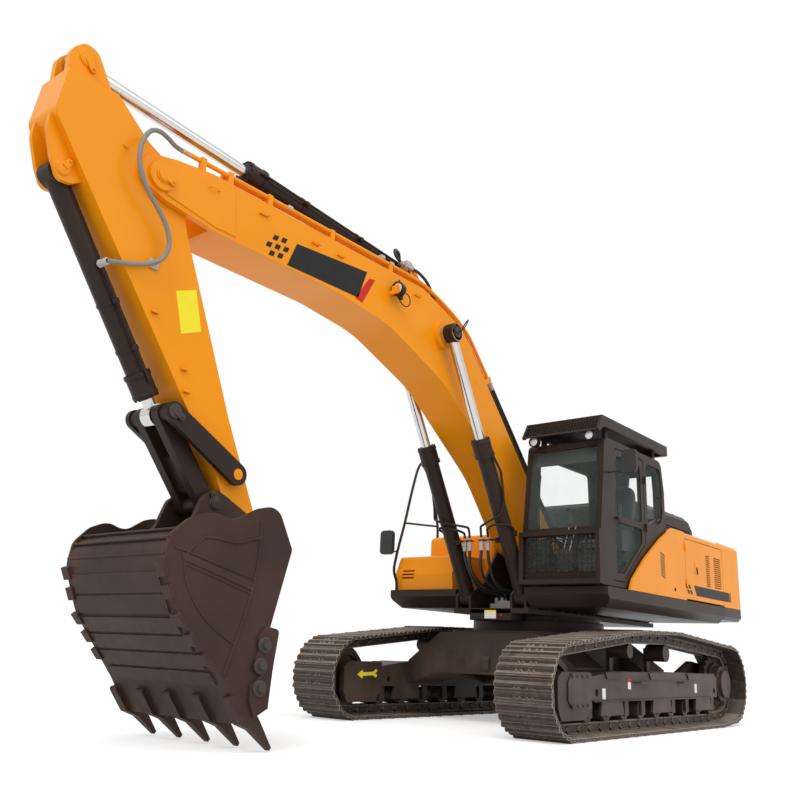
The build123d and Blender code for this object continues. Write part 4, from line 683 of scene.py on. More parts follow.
def gland(foot, way, y, reach, radius, rod, count, body, name):
    """The gland's collar with its ring of bolts, and the wiper ring round the rod."""
    start = at(foot[0], y, foot[1])
    d = np.array([way[0], 0.0, way[1]])
    rows = [(reach, rod + 0.002), (reach + 0.004, rod + 0.004), (reach + 0.004, radius * 0.80),
            (reach, radius * 0.84), (reach, radius * 0.99), (reach - 0.03, radius + 0.006),
            (reach - 0.035, radius + 0.001)]
    collar = turned(start, start + d, rows, 40)
    band = turned(start, start + d, [(reach - 0.20, radius), (reach - 0.198, radius + 0.007),
                                     (reach - 0.162, radius + 0.007), (reach - 0.16, radius)], 40)
    heads = spread(bolt(0.0085, 0.010), ring_of(start + d * reach, d, radius * 0.91, count), [d])
    wiper = turned(start, start + d, [(reach, rod + 0.001), (reach + 0.012, rod + 0.001),
                                      (reach + 0.012, rod + 0.010), (reach, rod + 0.014)], 32)
    piece(name, [collar, band, heads], "dark_paint", body)
    piece(name + "_wiper", [wiper], "black_hose", body)


for side, s in SIDES:
    gland(FOOT, BOOM_CYLINDER, s * CYLINDER_Y, 1.856, 0.105, 0.055, 12, "boom_barrel", f"boom_gland_{side}")
gland(ARM_FOOT, ARM_CYLINDER, 0.0, 2.24, 0.112, 0.057, 14, "arm_barrel", "arm_gland")
gland(BUCKET_FOOT, BUCKET_CYLINDER, 0.0, 1.748, 0.097, 0.050, 12, "bucket_barrel", "bucket_gland")

# steel pipes round both boom barrels, their fittings, and the hoses to the swing centre
HOSE_ENDS = ((0.078, 0.04), (0.156, -0.02))
for side, s in SIDES:
    gx, gz = on_rod(FOOT, BOOM_CYLINDER, 1.69)
    first = bent([(gx + 0.00, s * 0.455, gz), (gx - 0.02, s * 0.482, gz - 0.04),
                  (1.61, s * 0.482, 2.66), (1.565, s * 0.476, 2.50), (1.53, s * 0.474, 2.34),
                  (1.55, s * 0.45, 2.20), (1.565, s * 0.37, 2.165), (1.49, s * 0.22, 2.135),
                  (1.40, s * 0.085, 2.11), (1.385, s * 0.078, 2.06), (1.375, s * 0.078, 1.985)], 0.0135, 0.05)
    second = bent([(1.30, s * 0.455, 2.03), (1.34, s * 0.476, 2.08), (1.45, s * 0.46, 2.10),
                   (1.51, s * 0.40, 2.105), (1.505, s * 0.31, 2.10), (1.43, s * 0.19, 2.075),
                   (1.37, s * 0.156, 2.05), (1.355, s * 0.156, 1.985)], 0.0135, 0.045)
    ports = [slab((gx - 0.035, gx + 0.035), (s * 0.44, s * 0.478), (gz - 0.035, gz + 0.035), 0.008),
             slab((1.26, 1.33), (s * 0.445, s * 0.482), (2.00, 2.065), 0.008)]
    plate = slab((1.33, 1.395), (s * 0.05, s * 0.30), (1.955, 1.968), 0.004)
    arm = slab((1.30, 1.34), (s * 0.24, s * 0.30), (1.93, 1.99), 0.006)
    piece(f"boom_cylinder_pipes_{side}", [first, second, *ports, plate, arm], "dark_paint", "boom_barrel")
    fits = []
    for k, (y, lead) in enumerate(HOSE_ENDS):
        top = at(1.37 if k == 0 else 1.355, s * y, 1.99)
        fits.append(turned(top, top - (0, 0, 1), [(0, 0.010), (0, 0.021), (0.02, 0.021), (0.02, 0.016),
                                                  (0.045, 0.016), (0.045, 0.022), (0.062, 0.022),
                                                  (0.062, 0.012)], 6))
        end = piece(f"hose_end_{side}_{k}", ferrule(top - (0, 0, 0.062), (0, 0, -1), 0.0165),
                    "zinc", "boom_barrel")
        x = top[0] - SWING
        under, over = s * (y - 0.01), s * (y - 0.02)
        hose(f"boom_cylinder_hose_{side}_{k}",
             [(x - 0.70, under, 1.262), (x - 0.70, under, 1.40), (x - 0.64, under, 1.425),
              (x - 0.42, under, 1.43), (x - 0.24, over, 1.475), (x - 0.10 + lead, over, 1.57),
              (x - 0.02 + lead, s * (y - 0.005), 1.70), (x, s * y, 1.80), (x, s * y, 1.90)], 0.0175,
             blend=("house", "boom_barrel", tuple(at(0.80, 0, 1.42)), tuple(at(1.36, 0, 1.82))))
    piece(f"hose_adapters_{side}", fits, "zinc", "boom_barrel")

# centre manifold and the elbows that the hoses run to
manifold = [slab((0.56, 0.78), (-0.19, 0.19), (1.241, 1.31), 0.01),
            slab((0.60, 0.74), (-0.15, 0.15), (1.30, 1.345), 0.01)]
for x in (0.64, 0.70):
    for y in (-0.148, -0.07, 0.07, 0.148):
        manifold.append(turned(at(x, y, 1.345), at(x, y, 1.4),
                               [(0, 0.022), (0.02, 0.022), (0.02, 0.017), (0.035, 0.017), (0.035, 0)], 6))
piece("manifold", manifold, "zinc", "house")
swivel = [turned(at(0.25, 0, 1.2405), at(0.25, 0, 1.6),
                 [(0, 0.17), (0.02, 0.17), (0.02, 0.12), (0.16, 0.12), (0.17, 0.10), (0.17, 0)], 32)]
for k in range(6):
    a = k * pi / 3 + 0.3
    swivel.append(bushing(at(0.25 + 0.11 * cos(a), 0.11 * sin(a), 1.30),
                          at(0.25 + 0.17 * cos(a), 0.17 * sin(a), 1.30), 0.02, 12))
piece("swivel", swivel, "bolt_steel", "house")
pipes = [tube([(0.25 + 0.17 * cos(a), 0.17 * sin(a), 1.30), (0.25 + 0.21 * cos(a), 0.21 * sin(a), 1.31),
               (0.42, 0.20 * sin(a), 1.40), (0.56, y, 1.43), (0.64, y, 1.42), (0.66, y, 1.34)], 0.014)
         for a, y in ((0.3, 0.03), (-0.75, -0.07), (1.35, 0.10), (-1.8, -0.12))]
piece("swivel_pipes", pipes, "dark_paint", "house")

# hoses over the boom's foot to the pipes along its back
for k, y in enumerate((0.165, 0.215)):
    low = piece(f"boom_feed_low_{k}", ferrule(at(-0.28, y - 0.12, 1.60), (0, 0, 1), 0.019), "zinc", "house")
    hose(f"boom_feed_hose_{k}",
         [(1.45, y, 3.765), (1.25, y, 3.555), (1.0, y, 3.30), (0.6, y, 2.88), (0.25, y, 2.50),
          (0.02, y, 2.30),
          (-0.16, y - 0.05, 2.17), (-0.26, y - 0.1, 1.98), (-0.28, y - 0.12, 1.78), (-0.28, y - 0.12, 1.65)],
         0.021,
         blend=("house", "boom", tuple(at(-0.2, 0, 2.05)), tuple(at(0.25, 0, 2.35))))
    piece(f"boom_feed_end_{k}", ferrule(at(1.455, y, 3.765), (-1.87, 0, -1.96), 0.019), "zinc", "boom")
piece("boom_feed_clamp", [slab((0.55, 0.62), (0.13, 0.25), (2.72, 2.745), 0.004)], "zinc", "boom")

# the hose over the arm's pivot
HOSE = [(5.9309, 0.215, 4.5135), (6.010, 0.215, 4.5125), (6.110, 0.255, 4.525), (6.215, 0.290, 4.522),
        (6.310, 0.314, 4.475), (6.365, 0.318, 4.370), (6.385, 0.317, 4.250), (6.355, 0.312, 4.110),
        (6.260, 0.306, 3.970), (6.140, 0.300, 3.870), (6.040, 0.292, 3.760), (5.995, 0.282, 3.630),
        (6.030, 0.265, 3.510), (6.130, 0.240, 3.440), (6.260, 0.228, 3.395), (6.370, 0.218, 3.370)]
PORT = BUCKET_FOOT + BUCKET_CYLINDER * 0.71
HOSE += [(PORT[0], 0.19, PORT[1]), (PORT[0], 0.1003, PORT[1])]
hose("arm_hose_cover", HOSE, 0.019, "hose_rubber", replaces="arm_hose",
     blend=("boom", "arm", tuple(at(6.35, 0.3, 4.42)), tuple(at(6.10, 0.3, 3.62))))
piece("arm_hose_start", ferrule(at(5.925, 0.215, 4.5136), (1, 0, -0.015), 0.0135)
      + [turned(at(5.86, 0.215, 4.5147), at(5.93, 0.215, 4.5136),
                [(0, 0.018), (0, 0.0235), (0.03, 0.0235), (0.03, 0.018)], 6)],
      "zinc", "boom")
piece("arm_hose_end", ferrule(at(PORT[0], 0.101, PORT[1]), (0, 1, 0), 0.0195), "zinc", "bucket_barrel")
piece("arm_hose_clip", [slab((6.02, 6.10), (0.189, 0.205), (3.44, 3.52), 0.004),
                        bushing(at(6.06, 0.20, 3.478), at(6.06, 0.245, 3.478), 0.012, 12)],
      "zinc", "arm")

# pins and lock plates
PINS = (
    ("boom_tip", 6.12, 4.19, 0.273, 0.060, 200.0, "boom"),
    ("arm_cylinder_foot", 2.90, 4.65, 0.134, 0.060, 250.0, "boom"),
    ("arm_ear", 6.80, 4.89, 0.126, 0.060, 235.0, "arm"),
    ("bucket_cylinder_foot", 6.85, 3.94, 0.126, 0.050, 120.0, "arm"),
    ("rocker_pin", 5.10, 2.02, 0.209, 0.050, 80.0, "arm"),
    ("arm_tip", 4.93, 1.57, 0.236, 0.050, 100.0, "bucket"),
    ("link_ear", 5.28, 1.765, 0.236, 0.050, 60.0, "bucket"),
    ("boom_eye", 2.44, 4.03, 0.4525, 0.058, 20.0, "boom_rod"),
    ("link_top", 5.76, 2.38, 0.260, 0.050, 210.0, "rocker"),
    ("boom_cylinder_foot", 0.95, 1.36, 0.493, 0.050, 100.0, "house"),
    ("boom_foot", 0.15, 1.98, 0.337, 0.060, 40.0, "house"),
)
DARK_PINS = ("rocker_pin", "arm_tip", "link_ear", "boom_eye", "link_top", "boom_cylinder_foot")
for name, x, z, y, radius, turn, body in PINS:
    shapes = []
    for s in (1, -1):
        shapes += lock_plate(x, z, y, s, radius, turn)
    piece(f"pin_{name}", shapes, "bolt_steel" if name in DARK_PINS else "body_paint", body)

# black caps over the boom cylinders' upper pins, with their grease lines
for side, s in SIDES:
    c = at(2.44, 0, 4.03)
    piece(f"boom_eye_cap_{side}", [bushing(c + (0, s * 0.317, 0), c + (0, s * 0.4525, 0), 0.104, 40)],
          "dark_paint", "boom_rod")
    hose(f"grease_line_{side}", [(2.44, s * 0.4525, 4.03), (2.44, s * 0.52, 4.03), (2.40, s * 0.55, 4.13),
                                 (2.30, s * 0.50, 4.22), (2.22, s * 0.38, 4.20), (2.20, s * 0.30, 4.10),
                                 (2.20, s * 0.252, 4.02)], 0.0065, body="boom")

# ---------------------------------------------------------------- bucket
FLANK = {
    "seam": [(5.224, 1.604), (5.207, 1.478), (5.231, 1.194), (5.259, 1.053), (5.313, 0.857), (5.364, 0.703),
             (5.421, 0.516)],
    "top": [(5.667, 1.435), (5.58, 1.445), (5.464, 1.425), (5.373, 1.429), (5.282, 1.466), (5.207, 1.483)],
    "upper": [(5.89, 1.343), (5.805, 1.329), (5.536, 1.255), (5.242, 1.183)],
    "lower": [(5.794, 1.24), (5.525, 1.159), (5.255, 1.077)],
    "curve": [(5.667, 1.435), (5.775, 1.346), (5.807, 1.257), (5.789, 1.146), (5.713, 1.003), (5.577, 0.843),
              (5.367, 0.727)],
}


def flank_y(x):
    """The flank leans in towards the back: y = 0.715 - 0.155 (x - 5.22)."""
    return 0.715 - 0.155 * (x - 5.22)


for side, s in SIDES:
    beads = []
    for key, line in FLANK.items():
        r = 0.011 if key in ("seam", "top") else 0.008
        beads.append(tube([(x, s * flank_y(x), z) for x, z in line], r, 3 if len(line) > 3 else 2, 6))
    middle = [(5.83, 1.318), (5.50, 1.222), (5.25, 1.155), (5.253, 1.10), (5.52, 1.183), (5.82, 1.27)]
    n = np.array([0.155, 1.0, 0.0]) / hypot(0.155, 1.0) * (1, s, 1)
    outline = [at(x, s * flank_y(x), z) for x, z in middle]
    beads.append(pushed(outline, n * -0.004, n * 0.007))
    piece(f"flank_welds_{side}", beads, "bucket_steel", "bucket")
    heads = []
    for x, z in ((5.126, 0.73), (5.147, 0.586), (5.143, 0.435)):
        start = at(x, s * (flank_y(x) + 0.024), z) - n * 0.004
        heads += [stud(start, n, 0.056, 0.012, 0.018, 0.048, 28),
                  spread(bolt(0.030, 0.026), [start + n * 0.018], [n])]
    piece(f"cutter_bolts_{side}", heads, "bolt_steel", "bucket")
back = [tube([(x + 0.004, -flank_y(x) + 0.01, z), (x + 0.004, flank_y(x) - 0.01, z)], 0.011, 2, 2)
        for x, z in ((5.948, 1.300), (5.925, 1.408), (5.850, 1.478))]
piece("back_welds", back, "bucket_steel", "bucket")

# ---------------------------------------------------------------- boom and arm trim
BOOM_SIDE, ARM_SIDE = 0.245, 0.19


def decal(corners, y, thick=0.0025):
    return side_plate(corners, (y - 0.001, y + thick) if y > 0 else (y - thick, y + 0.001))


for side, s in SIDES:
    y = s * BOOM_SIDE
    piece(f"boom_band_{side}", [decal([(4.656, 4.214), (3.70, 4.30), (3.811, 3.992), (4.755, 3.969)], y)]
          + [decal([(x, z), (x - 0.055, z + 0.004), (x - 0.035, z - 0.046), (x + 0.02, z - 0.05)], y)
             for x, z in ((4.83, 4.205), (4.93, 4.19), (4.80, 4.13), (4.90, 4.115), (5.00, 4.10),
                          (4.86, 4.045), (4.96, 4.03))],
          "black_film", "boom")
    piece(f"boom_slash_{side}", [decal([(3.665, 4.243), (3.575, 4.265), (3.747, 3.959), (3.851, 3.975)], y)],
          "red_film", "boom")
    low, high = sorted((y - s * 0.002, y + s * 0.009))
    cheek = [side_plate([(6.09, 4.31), (5.743, 4.40), (5.408, 4.40), (5.36, 3.99), (5.561, 3.985),
                         (6.06, 4.06)], (low, high))]
    low, high = sorted((y, y + s * 0.045))
    tabs = [slab((x - 0.05, x + 0.05), (low, high), (z - 0.006, z + 0.006), 0.004)
            for x, z in ((5.628, 4.30), (5.077, 4.314), (4.436, 4.30), (4.094, 4.31), (2.903, 4.33))]
    seam = [tube([(5.36, y, 3.99), (5.408, y, 4.43)], 0.007, 2, 2)]
    piece(f"boom_plates_{side}", cheek + tabs + seam, "body_paint", "boom")
    y = s * ARM_SIDE
    piece(f"arm_plate_{side}", [decal([(5.83, 3.345), (5.645, 3.421), (5.553, 3.094), (5.738, 3.018)], y)],
          "yellow_film", "arm")
    low, high = sorted((y, y + s * 0.03))
    lugs = [slab((x - 0.03, x + 0.03), (low, high), (z - 0.012, z + 0.012), 0.005)
            for x, z in ((6.0, 3.109), (5.676, 2.744), (5.635, 2.576))]
    plug = [stud(at(6.43, y, 4.32), (0, s, 0), 0.022, 0.012, 0.015, 0.018, 20)]
    piece(f"arm_lugs_{side}", lugs + plug, "body_paint", "arm")

# work lamp on the boom
lamp = [turned(at(3.30, 0.335, 4.235), at(3.42, 0.335, 4.235),
               [(-0.05, 0), (-0.05, 0.045), (-0.03, 0.068), (0.03, 0.078), (0.045, 0.078), (0.045, 0.066),
                (0.036, 0.066)], 36),
        slab((3.25, 3.31), (0.32, 0.35), (4.14, 4.19), 0.006)]
piece("boom_lamp", lamp, "dark_paint", "boom")
piece("boom_lamp_lens", [turned(at(3.30, 0.335, 4.235), at(3.42, 0.335, 4.235),
                                [(0.034, 0.066), (0.040, 0.05), (0.044, 0.0)], 36)],
      "lamp_lens", "boom")
plug = piece("boom_lamp_plug", [bushing(at(3.225, 0.335, 4.235), at(3.256, 0.335, 4.235), 0.014, 12)],
             "black_hose", "boom")
hose("boom_lamp_wire",
     [(3.20, 0.250, 4.40), (3.25, 0.255, 4.30), (3.22, 0.27, 4.16), (3.14, 0.30, 4.10), (3.10, 0.33, 4.16),
      (3.16, 0.345, 4.24), (3.24, 0.335, 4.235)], 0.006, body="boom")
fit = []
for x, z in ((4.75, 4.53), (3.45, 4.56), (3.30, 4.54)):
    fit += [slab((x - 0.03, x + 0.03), (0.150, 0.235), (z - 0.012, z + 0.028), 0.006)]
fit += [slab((2.97, 3.05), (0.13, 0.22), (4.62, 4.70), 0.01)]
piece("boom_fittings", fit, "zinc", "boom")
front = piece("boom_fitting_front", [bushing(at(3.05, 0.175, 4.66), at(3.12, 0.175, 4.66), 0.022, 12)],
              "zinc", "boom")
rear = piece("boom_fitting_rear", [bushing(at(2.90, 0.175, 4.66), at(2.97, 0.175, 4.66), 0.022, 12)], "zinc",
             "boom")
hose("arm_cylinder_hose", [(3.02, 0.080, 4.727), (3.04, 0.10, 4.765), (3.09, 0.12, 4.80), (3.17, 0.14, 4.79),
                           (3.20, 0.165, 4.74), (3.17, 0.175, 4.68), (3.09, 0.175, 4.66)], 0.017,
     blend=("boom", "arm_barrel", tuple(at(3.16, 0.17, 4.68)), tuple(at(3.06, 0.11, 4.79))))
hose("arm_cylinder_hose_low",
     [(2.50, 0.19, 4.385), (2.56, 0.19, 4.47), (2.66, 0.20, 4.58), (2.78, 0.18, 4.65), (2.86, 0.175, 4.66),
      (2.93, 0.175, 4.66)], 0.017, body="boom")

# pipe along the arm cylinder, and along the bucket cylinder
for name, foot, d, r, first, last, body in (
        ("arm", ARM_FOOT, ARM_CYLINDER, 0.095, 0.20, 2.14, "arm_barrel"),
        ("bucket", BUCKET_FOOT, BUCKET_CYLINDER, 0.080, 0.72, 1.64, "bucket_barrel")):
    run, clamps, way = [], [], np.array([d[0], 0.0, d[1]])
    for dist, y in ((first, r), (first, r + 0.030), (first + 0.05, r + 0.036), (last - 0.06, r + 0.036),
                    (last, r + 0.036), (last, r + 0.004)):
        x, z = on_rod(foot, d, dist)
        run.append((x, y, z))
    for share in (0.3, 0.7):
        x, z = on_rod(foot, d, first + (last - first) * share)
        clip, axis = at(x, r + 0.028, z), at(x, 0, z)
        clamps.append(bushing(clip - way * 0.02, clip + way * 0.02, 0.026, 12))
        clamps.append(turned(axis - way * 0.014, axis + way * 0.014,
                             [(0, r), (0, r + 0.006), (0.028, r + 0.006), (0.028, r)], 40))
    piece(f"{name}_cylinder_pipe", [bent(run, 0.0125, 0.03), *clamps], "dark_paint", body)

# ---------------------------------------------------------------- swing base
base = [slab((0.80, 1.06), (-0.28, 0.28), (1.108, 1.238), 0.01)]
piece("swing_base_box", base, "dark_paint", "house")
piece("base_label", [slab((1.0585, 1.0625), (-0.075, 0.08), (1.127, 1.195), 0.001, 1)], "white_film", "house")
piece("base_label_head", [slab((1.0585, 1.0625), (-0.075, 0.08), (1.195, 1.218), 0.001, 1)], "yellow_film",
      "house")
piece("base_reflector", [turned(at(1.059, 0.15, 1.166), at(1.1, 0.15, 1.166),
                                [(0, 0.012), (0.004, 0.012), (0.006, 0)], 20)], "red_film", "house")
# ring of bolts on the bearing, and round the base plate
up = np.array([0.0, 0.0, 1.0])
piece("bearing_bolts", [spread(bolt(0.014, 0.016), ring_of(at(0, 0, 1.120), up, 0.761, 44), [up])],
      "bolt_steel", "undercarriage")
piece("base_bolts", [spread(bolt(0.014, 0.016), ring_of(at(0, 0, 1.24), up, 0.66, 36), [up])], "bolt_steel",
      "house")

# ---------------------------------------------------------------- running gear
FRAME_SIDE = GAUGE / 2 + 0.2
HUB = (-2.12, 0.5)
# a chain link's side: (share of the pitch along the chain, distance under the shoes)
LINK = ((-0.62, -0.012), (0.40, -0.012), (0.62, -0.03), (0.62, -0.085), (0.45, -0.100), (-0.30, -0.100),
        (-0.62, -0.085))
for side, s in SIDES:
    out_ = np.array([0.0, s, 0.0])
    hub, flange, drum = (at(HUB[0], s * (GAUGE / 2 + y), HUB[1]) for y in (0.145, 0.1, 0.025))
    bolts_ = [spread(bolt(0.012, 0.012), ring_of(flange, out_, 0.19, 16), [out_]),
              spread(bolt(0.016, 0.014), ring_of(drum, out_, 0.232, 20), [out_]),
              turned(hub, hub + out_, [(0, 0.135), (0.02, 0.135), (0.024, 0.12), (0.024, 0.05),
                                       (0.018, 0.045), (0.018, 0)], 40)]
    low, high = sorted((s * FRAME_SIDE, s * (FRAME_SIDE + 0.014)))
    lip = [slab((-1.55, 1.58), (s * FRAME_SIDE, s * (FRAME_SIDE + 0.03)), (0.338, 0.352), 0.003),
           side_plate([(1.60, 0.60), (1.98, 0.60), (2.06, 0.52), (2.06, 0.36), (1.98, 0.28), (1.60, 0.28)],
                      (low, high)),
           side_plate([(-0.30, 0.612), (0.26, 0.612), (0.22, 0.545), (-0.26, 0.545)], (low, high)),
           side_plate([(-1.20, 0.612), (-0.80, 0.612), (-0.84, 0.55), (-1.16, 0.55)], (low, high)),
           side_plate([(0.90, 0.612), (1.30, 0.612), (1.26, 0.55), (0.94, 0.55)], (low, high))]
    piece(f"frame_trim_{side}", lip + bolts_, "dark_paint", "undercarriage")
    heads = [at(x, s * (FRAME_SIDE + 0.014), z) for x in (1.68, 1.78, 1.88, 1.98) for z in (0.31, 0.57)]
    piece(f"frame_bolts_{side}", [spread(bolt(0.013, 0.012), heads, [out_])], "bolt_steel", "undercarriage")
    low, high = sorted((s * (FRAME_SIDE - 0.001), s * (FRAME_SIDE + 0.002)))
    piece(f"frame_labels_{side}", [slab((x - 0.035, x + 0.035), (low, high), (z - 0.05, z + 0.05), 0.0005, 1)
                                   for x, z in ((1.32, 0.41), (0.74, 0.50), (-1.07, 0.45))],
          "white_film", "undercarriage")
    depth = (low, high) if s < 0 else (high - 0.003, high + 0.001)
    piece(f"frame_label_heads_{side}", [slab((0.705, 0.775), depth, (0.52, 0.55), 0.0005, 1)],
          "red_film", "undercarriage")
    # the chain's links and pins under the shoes
    links, pins = [], []
    middle = s * GAUGE / 2
    d = np.stack([-ways[:, 1], ways[:, 0]], -1)
    for row in (-1, 1):
        for face in (0.052, 0.078):
            y0 = middle + row * face
            verts, faces = pushed([(a * pitch, 0, b) for a, b in LINK], (0, 0, 0), (0, 0.018 * row, 0))
            for c, w, u in zip(spots, ways, d):
                place = np.empty_like(verts)
                place[:, 0] = SWING + c[0] + u[0] * verts[:, 0] + w[0] * verts[:, 2]
                place[:, 1] = y0 + verts[:, 1]
                place[:, 2] = c[1] + u[1] * verts[:, 0] + w[1] * verts[:, 2]
                links.append((place, faces))
    for c, w, u in zip(spots, ways, d):
        q = c - w * 0.058 + u * pitch * 0.5
        pins.append(turned(at(q[0], middle - 0.105, q[1]), at(q[0], middle + 0.105, q[1]),
                           [(0, 0), (0, 0.020), (0.21, 0.020), (0.21, 0)], 10))
    piece(f"chain_{side}", links + pins, "track_steel", "undercarriage")
arrow = [(2.02, 0.468), (1.93, 0.520), (1.93, 0.492), (1.76, 0.498), (1.70, 0.530), (1.68, 0.505),
         (1.72, 0.482),
         (1.68, 0.462), (1.70, 0.436), (1.76, 0.462), (1.93, 0.452), (1.93, 0.424)]
for side, s in SIDES:
    low, high = sorted((s * (GAUGE / 2 - 0.2 + 0.001), s * (GAUGE / 2 - 0.2 - 0.002)))
    piece(f"jack_arrow_{side}", [side_plate(arrow, (low, high))], "yellow_film", "undercarriage")

# ---------------------------------------------------------------- house
HOUSE_SIDE = 1.49


def on_side(corners, y, s=1, thick=0.002):
    low, high = sorted((s * (y - 0.001), s * (y + thick)))
    return side_plate(corners, (low, high))


BAND_SIDE = HOUSE_SIDE + 0.0005
band = [on_side([(-2.46, 1.535), (-1.30, 1.535), (-1.22, 1.655), (-2.46, 1.655)], BAND_SIDE)]
band += [on_side([(x, z), (x + 0.055, z), (x + 0.085, z + 0.045), (x + 0.03, z + 0.045)], BAND_SIDE)
         for x, z in ((-1.17, 1.545), (-1.08, 1.545), (-1.12, 1.605), (-1.03, 1.605))]
piece("side_band", band, "black_film", "left_door")
band = [on_side([(-2.53, 1.535), (-2.475, 1.535), (-2.475, 1.655), (-2.53, 1.655)], BAND_SIDE)]
piece("side_band_end", band, "red_film", "left_door")
# dark film strips for the louvre slots: painted shade standing for the dark openings of the vents
piece("side_vent_painted_shade", [on_side([(-0.345, z), (-0.225, z + 0.030), (-0.225, z + 0.046), (-0.345, z + 0.016)],
                             HOUSE_SIDE)
                     for z in 1.66 + 0.036 * np.arange(8)], "black_film", "house")
latch = [slab((-1.40, -1.27), (HOUSE_SIDE, HOUSE_SIDE + 0.006), (1.79, 1.93), 0.003)]
piece("door_latch_plate", latch, "body_paint", "left_door")
for name, s, lift, body in (("door_latch", 1, 0.005, "left_door"), ("right_latch", -1, 0.001, "right_door")):
    y = HOUSE_SIDE + lift
    piece(name, [stud(at(-1.335, s * y, 1.86), (0, s, 0), 0.025, 0.005, 0.007, 0.02, 24),
                 slab((-1.345, -1.325), (s * y, s * (y + 0.012)), (1.80, 1.855), 0.003)], "dark_paint", body)
piece("panel_plug", [stud(at(-0.62, HOUSE_SIDE, 1.56), (0, 1, 0), 0.02, 0.006, 0.008, 0.015, 20)],
      "dark_paint", "house")

# ---------------------------------------------------------------- cab
CAB_LEFT = 1.45

SEAT_MIDDLE = 0.9775

# the wiper, parked over the low window
wiper = [carried([at(1.2005, y0, 2.074), at(1.2005, y1, 1.822)],
                 [(-0.004, -0.006), (0.004, -0.006), (0.004, 0.006), (-0.004, 0.006)], (1, 0, 0))
         for y0, y1 in ((1.087, 1.012), (1.166, 1.083))]
piece("wiper", wiper, "zinc", "house")
piece("wiper_pivot", [slab((1.192, 1.2045), (1.06, 1.19), (2.066, 2.092), 0.004)], "bolt_steel", "house")
shade = [side_plate([(1.000, 2.985), (1.012, 2.985), (1.045, 2.80), (1.033, 2.80)], (0.60, 1.34))]
piece("sun_shade", shade, "trim_plastic", "house")
monitor = [slab((0.60, 0.63), (0.60, 0.80), (2.20, 2.35), 0.01),
           bushing(at(0.60, 0.70, 1.90), at(0.60, 0.70, 2.21), 0.016, 12),
           slab((0.52, 0.66), (0.63, 0.77), (1.60, 1.92), 0.02)]
piece("monitor", monitor, "trim_plastic", "house")
piece("monitor_screen", [slab((0.597, 0.601), (0.615, 0.785), (2.215, 2.335), 0.001, 1)], "lamp_lens",
      "house")
grips = []
for s in (-1, 1):
    c = at(0.42, SEAT_MIDDLE + s * 0.322, 2.30)
    grips.append(turned(c, c + (0, 0, 1), [(-0.03, 0.026), (-0.03, 0.03), (0.0, 0.026), (0.05, 0.024),
                                           (0.09, 0.03), (0.115, 0.03), (0.125, 0.02), (0.125, 0)], 20))
    c = at(0.42, SEAT_MIDDLE + s * 0.322, 2.139)
    grips.append(turned(c, c + (0, 0, 1), [(0, 0.055), (0.015, 0.05), (0.03, 0.035), (0.045, 0.04),
                                           (0.06, 0.028), (0.06, 0.02)], 24))
    grips.append(slab((-0.05, 0.36), (SEAT_MIDDLE + s * 0.29, SEAT_MIDDLE + s * 0.355), (2.139, 2.175),
                      0.015))
piece("lever_grips", grips, "trim_plastic", "house")
rails = [tube([(1.00, 0.60, 2.10), (1.02, 0.60, 2.20), (0.99, 0.60, 2.62), (0.96, 0.60, 2.72)], 0.014),
         tube([(-0.30, CAB_LEFT + 0.001, 2.30), (-0.30, CAB_LEFT + 0.05, 2.31),
               (-0.30, CAB_LEFT + 0.05, 2.60), (-0.30, CAB_LEFT + 0.001, 2.61)], 0.012)]
piece("cab_rails", rails, "dark_paint", "house")


def pad(low, high, crown, n=18):
    """A stuffed block: a cube's point q goes to q / |q|_6, and its top rises by crown (1 - x^2)(1 - y^2)."""
    line = np.tan(np.linspace(-1, 1, n) * pi / 4)
    verts, faces, base = [], [], 0
    for axis in range(3):
        for end in (-1, 1):
            a, b = np.meshgrid(line, line, indexing="ij")
            q = np.empty(a.shape + (3,))
            q[..., axis], q[..., (axis + 1) % 3], q[..., (axis + 2) % 3] = end, a, b
            q /= (np.abs(q) ** 6).sum(-1, keepdims=True) ** (1 / 6)
            verts.append(q.reshape(-1, 3))
            for i in range(n - 1):
                for j in range(n - 1):
                    k = base + i * n + j
                    faces.append([k, k + n, k + n + 1, k + 1])
            base += n * n
    q = np.concatenate(verts)
    rise = np.sign(q[:, 2]) * crown * (1 - q[:, 0] ** 2) * (1 - q[:, 1] ** 2)
    low, high = np.array(low), np.array(high)
    p = (low + high) / 2 + q * (high - low) / 2
    p[:, 2] += rise * (q[:, 2] > 0)
    return p, faces


PRESSURE, SWELL_FRAMES = 3.0, 20


def stuffed(made, cap):
    """Swells a pad under pressure for some frames, moving no point further than the cap."""
    cloth_ = made.modifiers.new("cloth", "CLOTH")
    cloth_.settings.use_pressure = True
    cloth_.settings.uniform_pressure_force = PRESSURE
    cloth_.settings.effector_weights.gravity = 0.0
    for frame_ in range(1, SWELL_FRAMES + 1):
        scene.frame_set(frame_)
    soft = made.evaluated_get(bpy.context.evaluated_depsgraph_get())
    swollen = np.array([v.co[:] for v in soft.data.vertices])
    made.modifiers.remove(cloth_)
    scene.frame_set(1)
    rest = np.array([v.co[:] for v in made.data.vertices])
    move = swollen - rest
    far = np.linalg.norm(move, axis=1, keepdims=True)
    rest += move * np.minimum(1.0, cap / np.maximum(far, 1e-9))
    made.data.vertices.foreach_set("co", rest.ravel())
    made.data.update()
    finer = made.modifiers.new("finer", "SUBSURF")
    finer.levels = finer.render_levels = 1


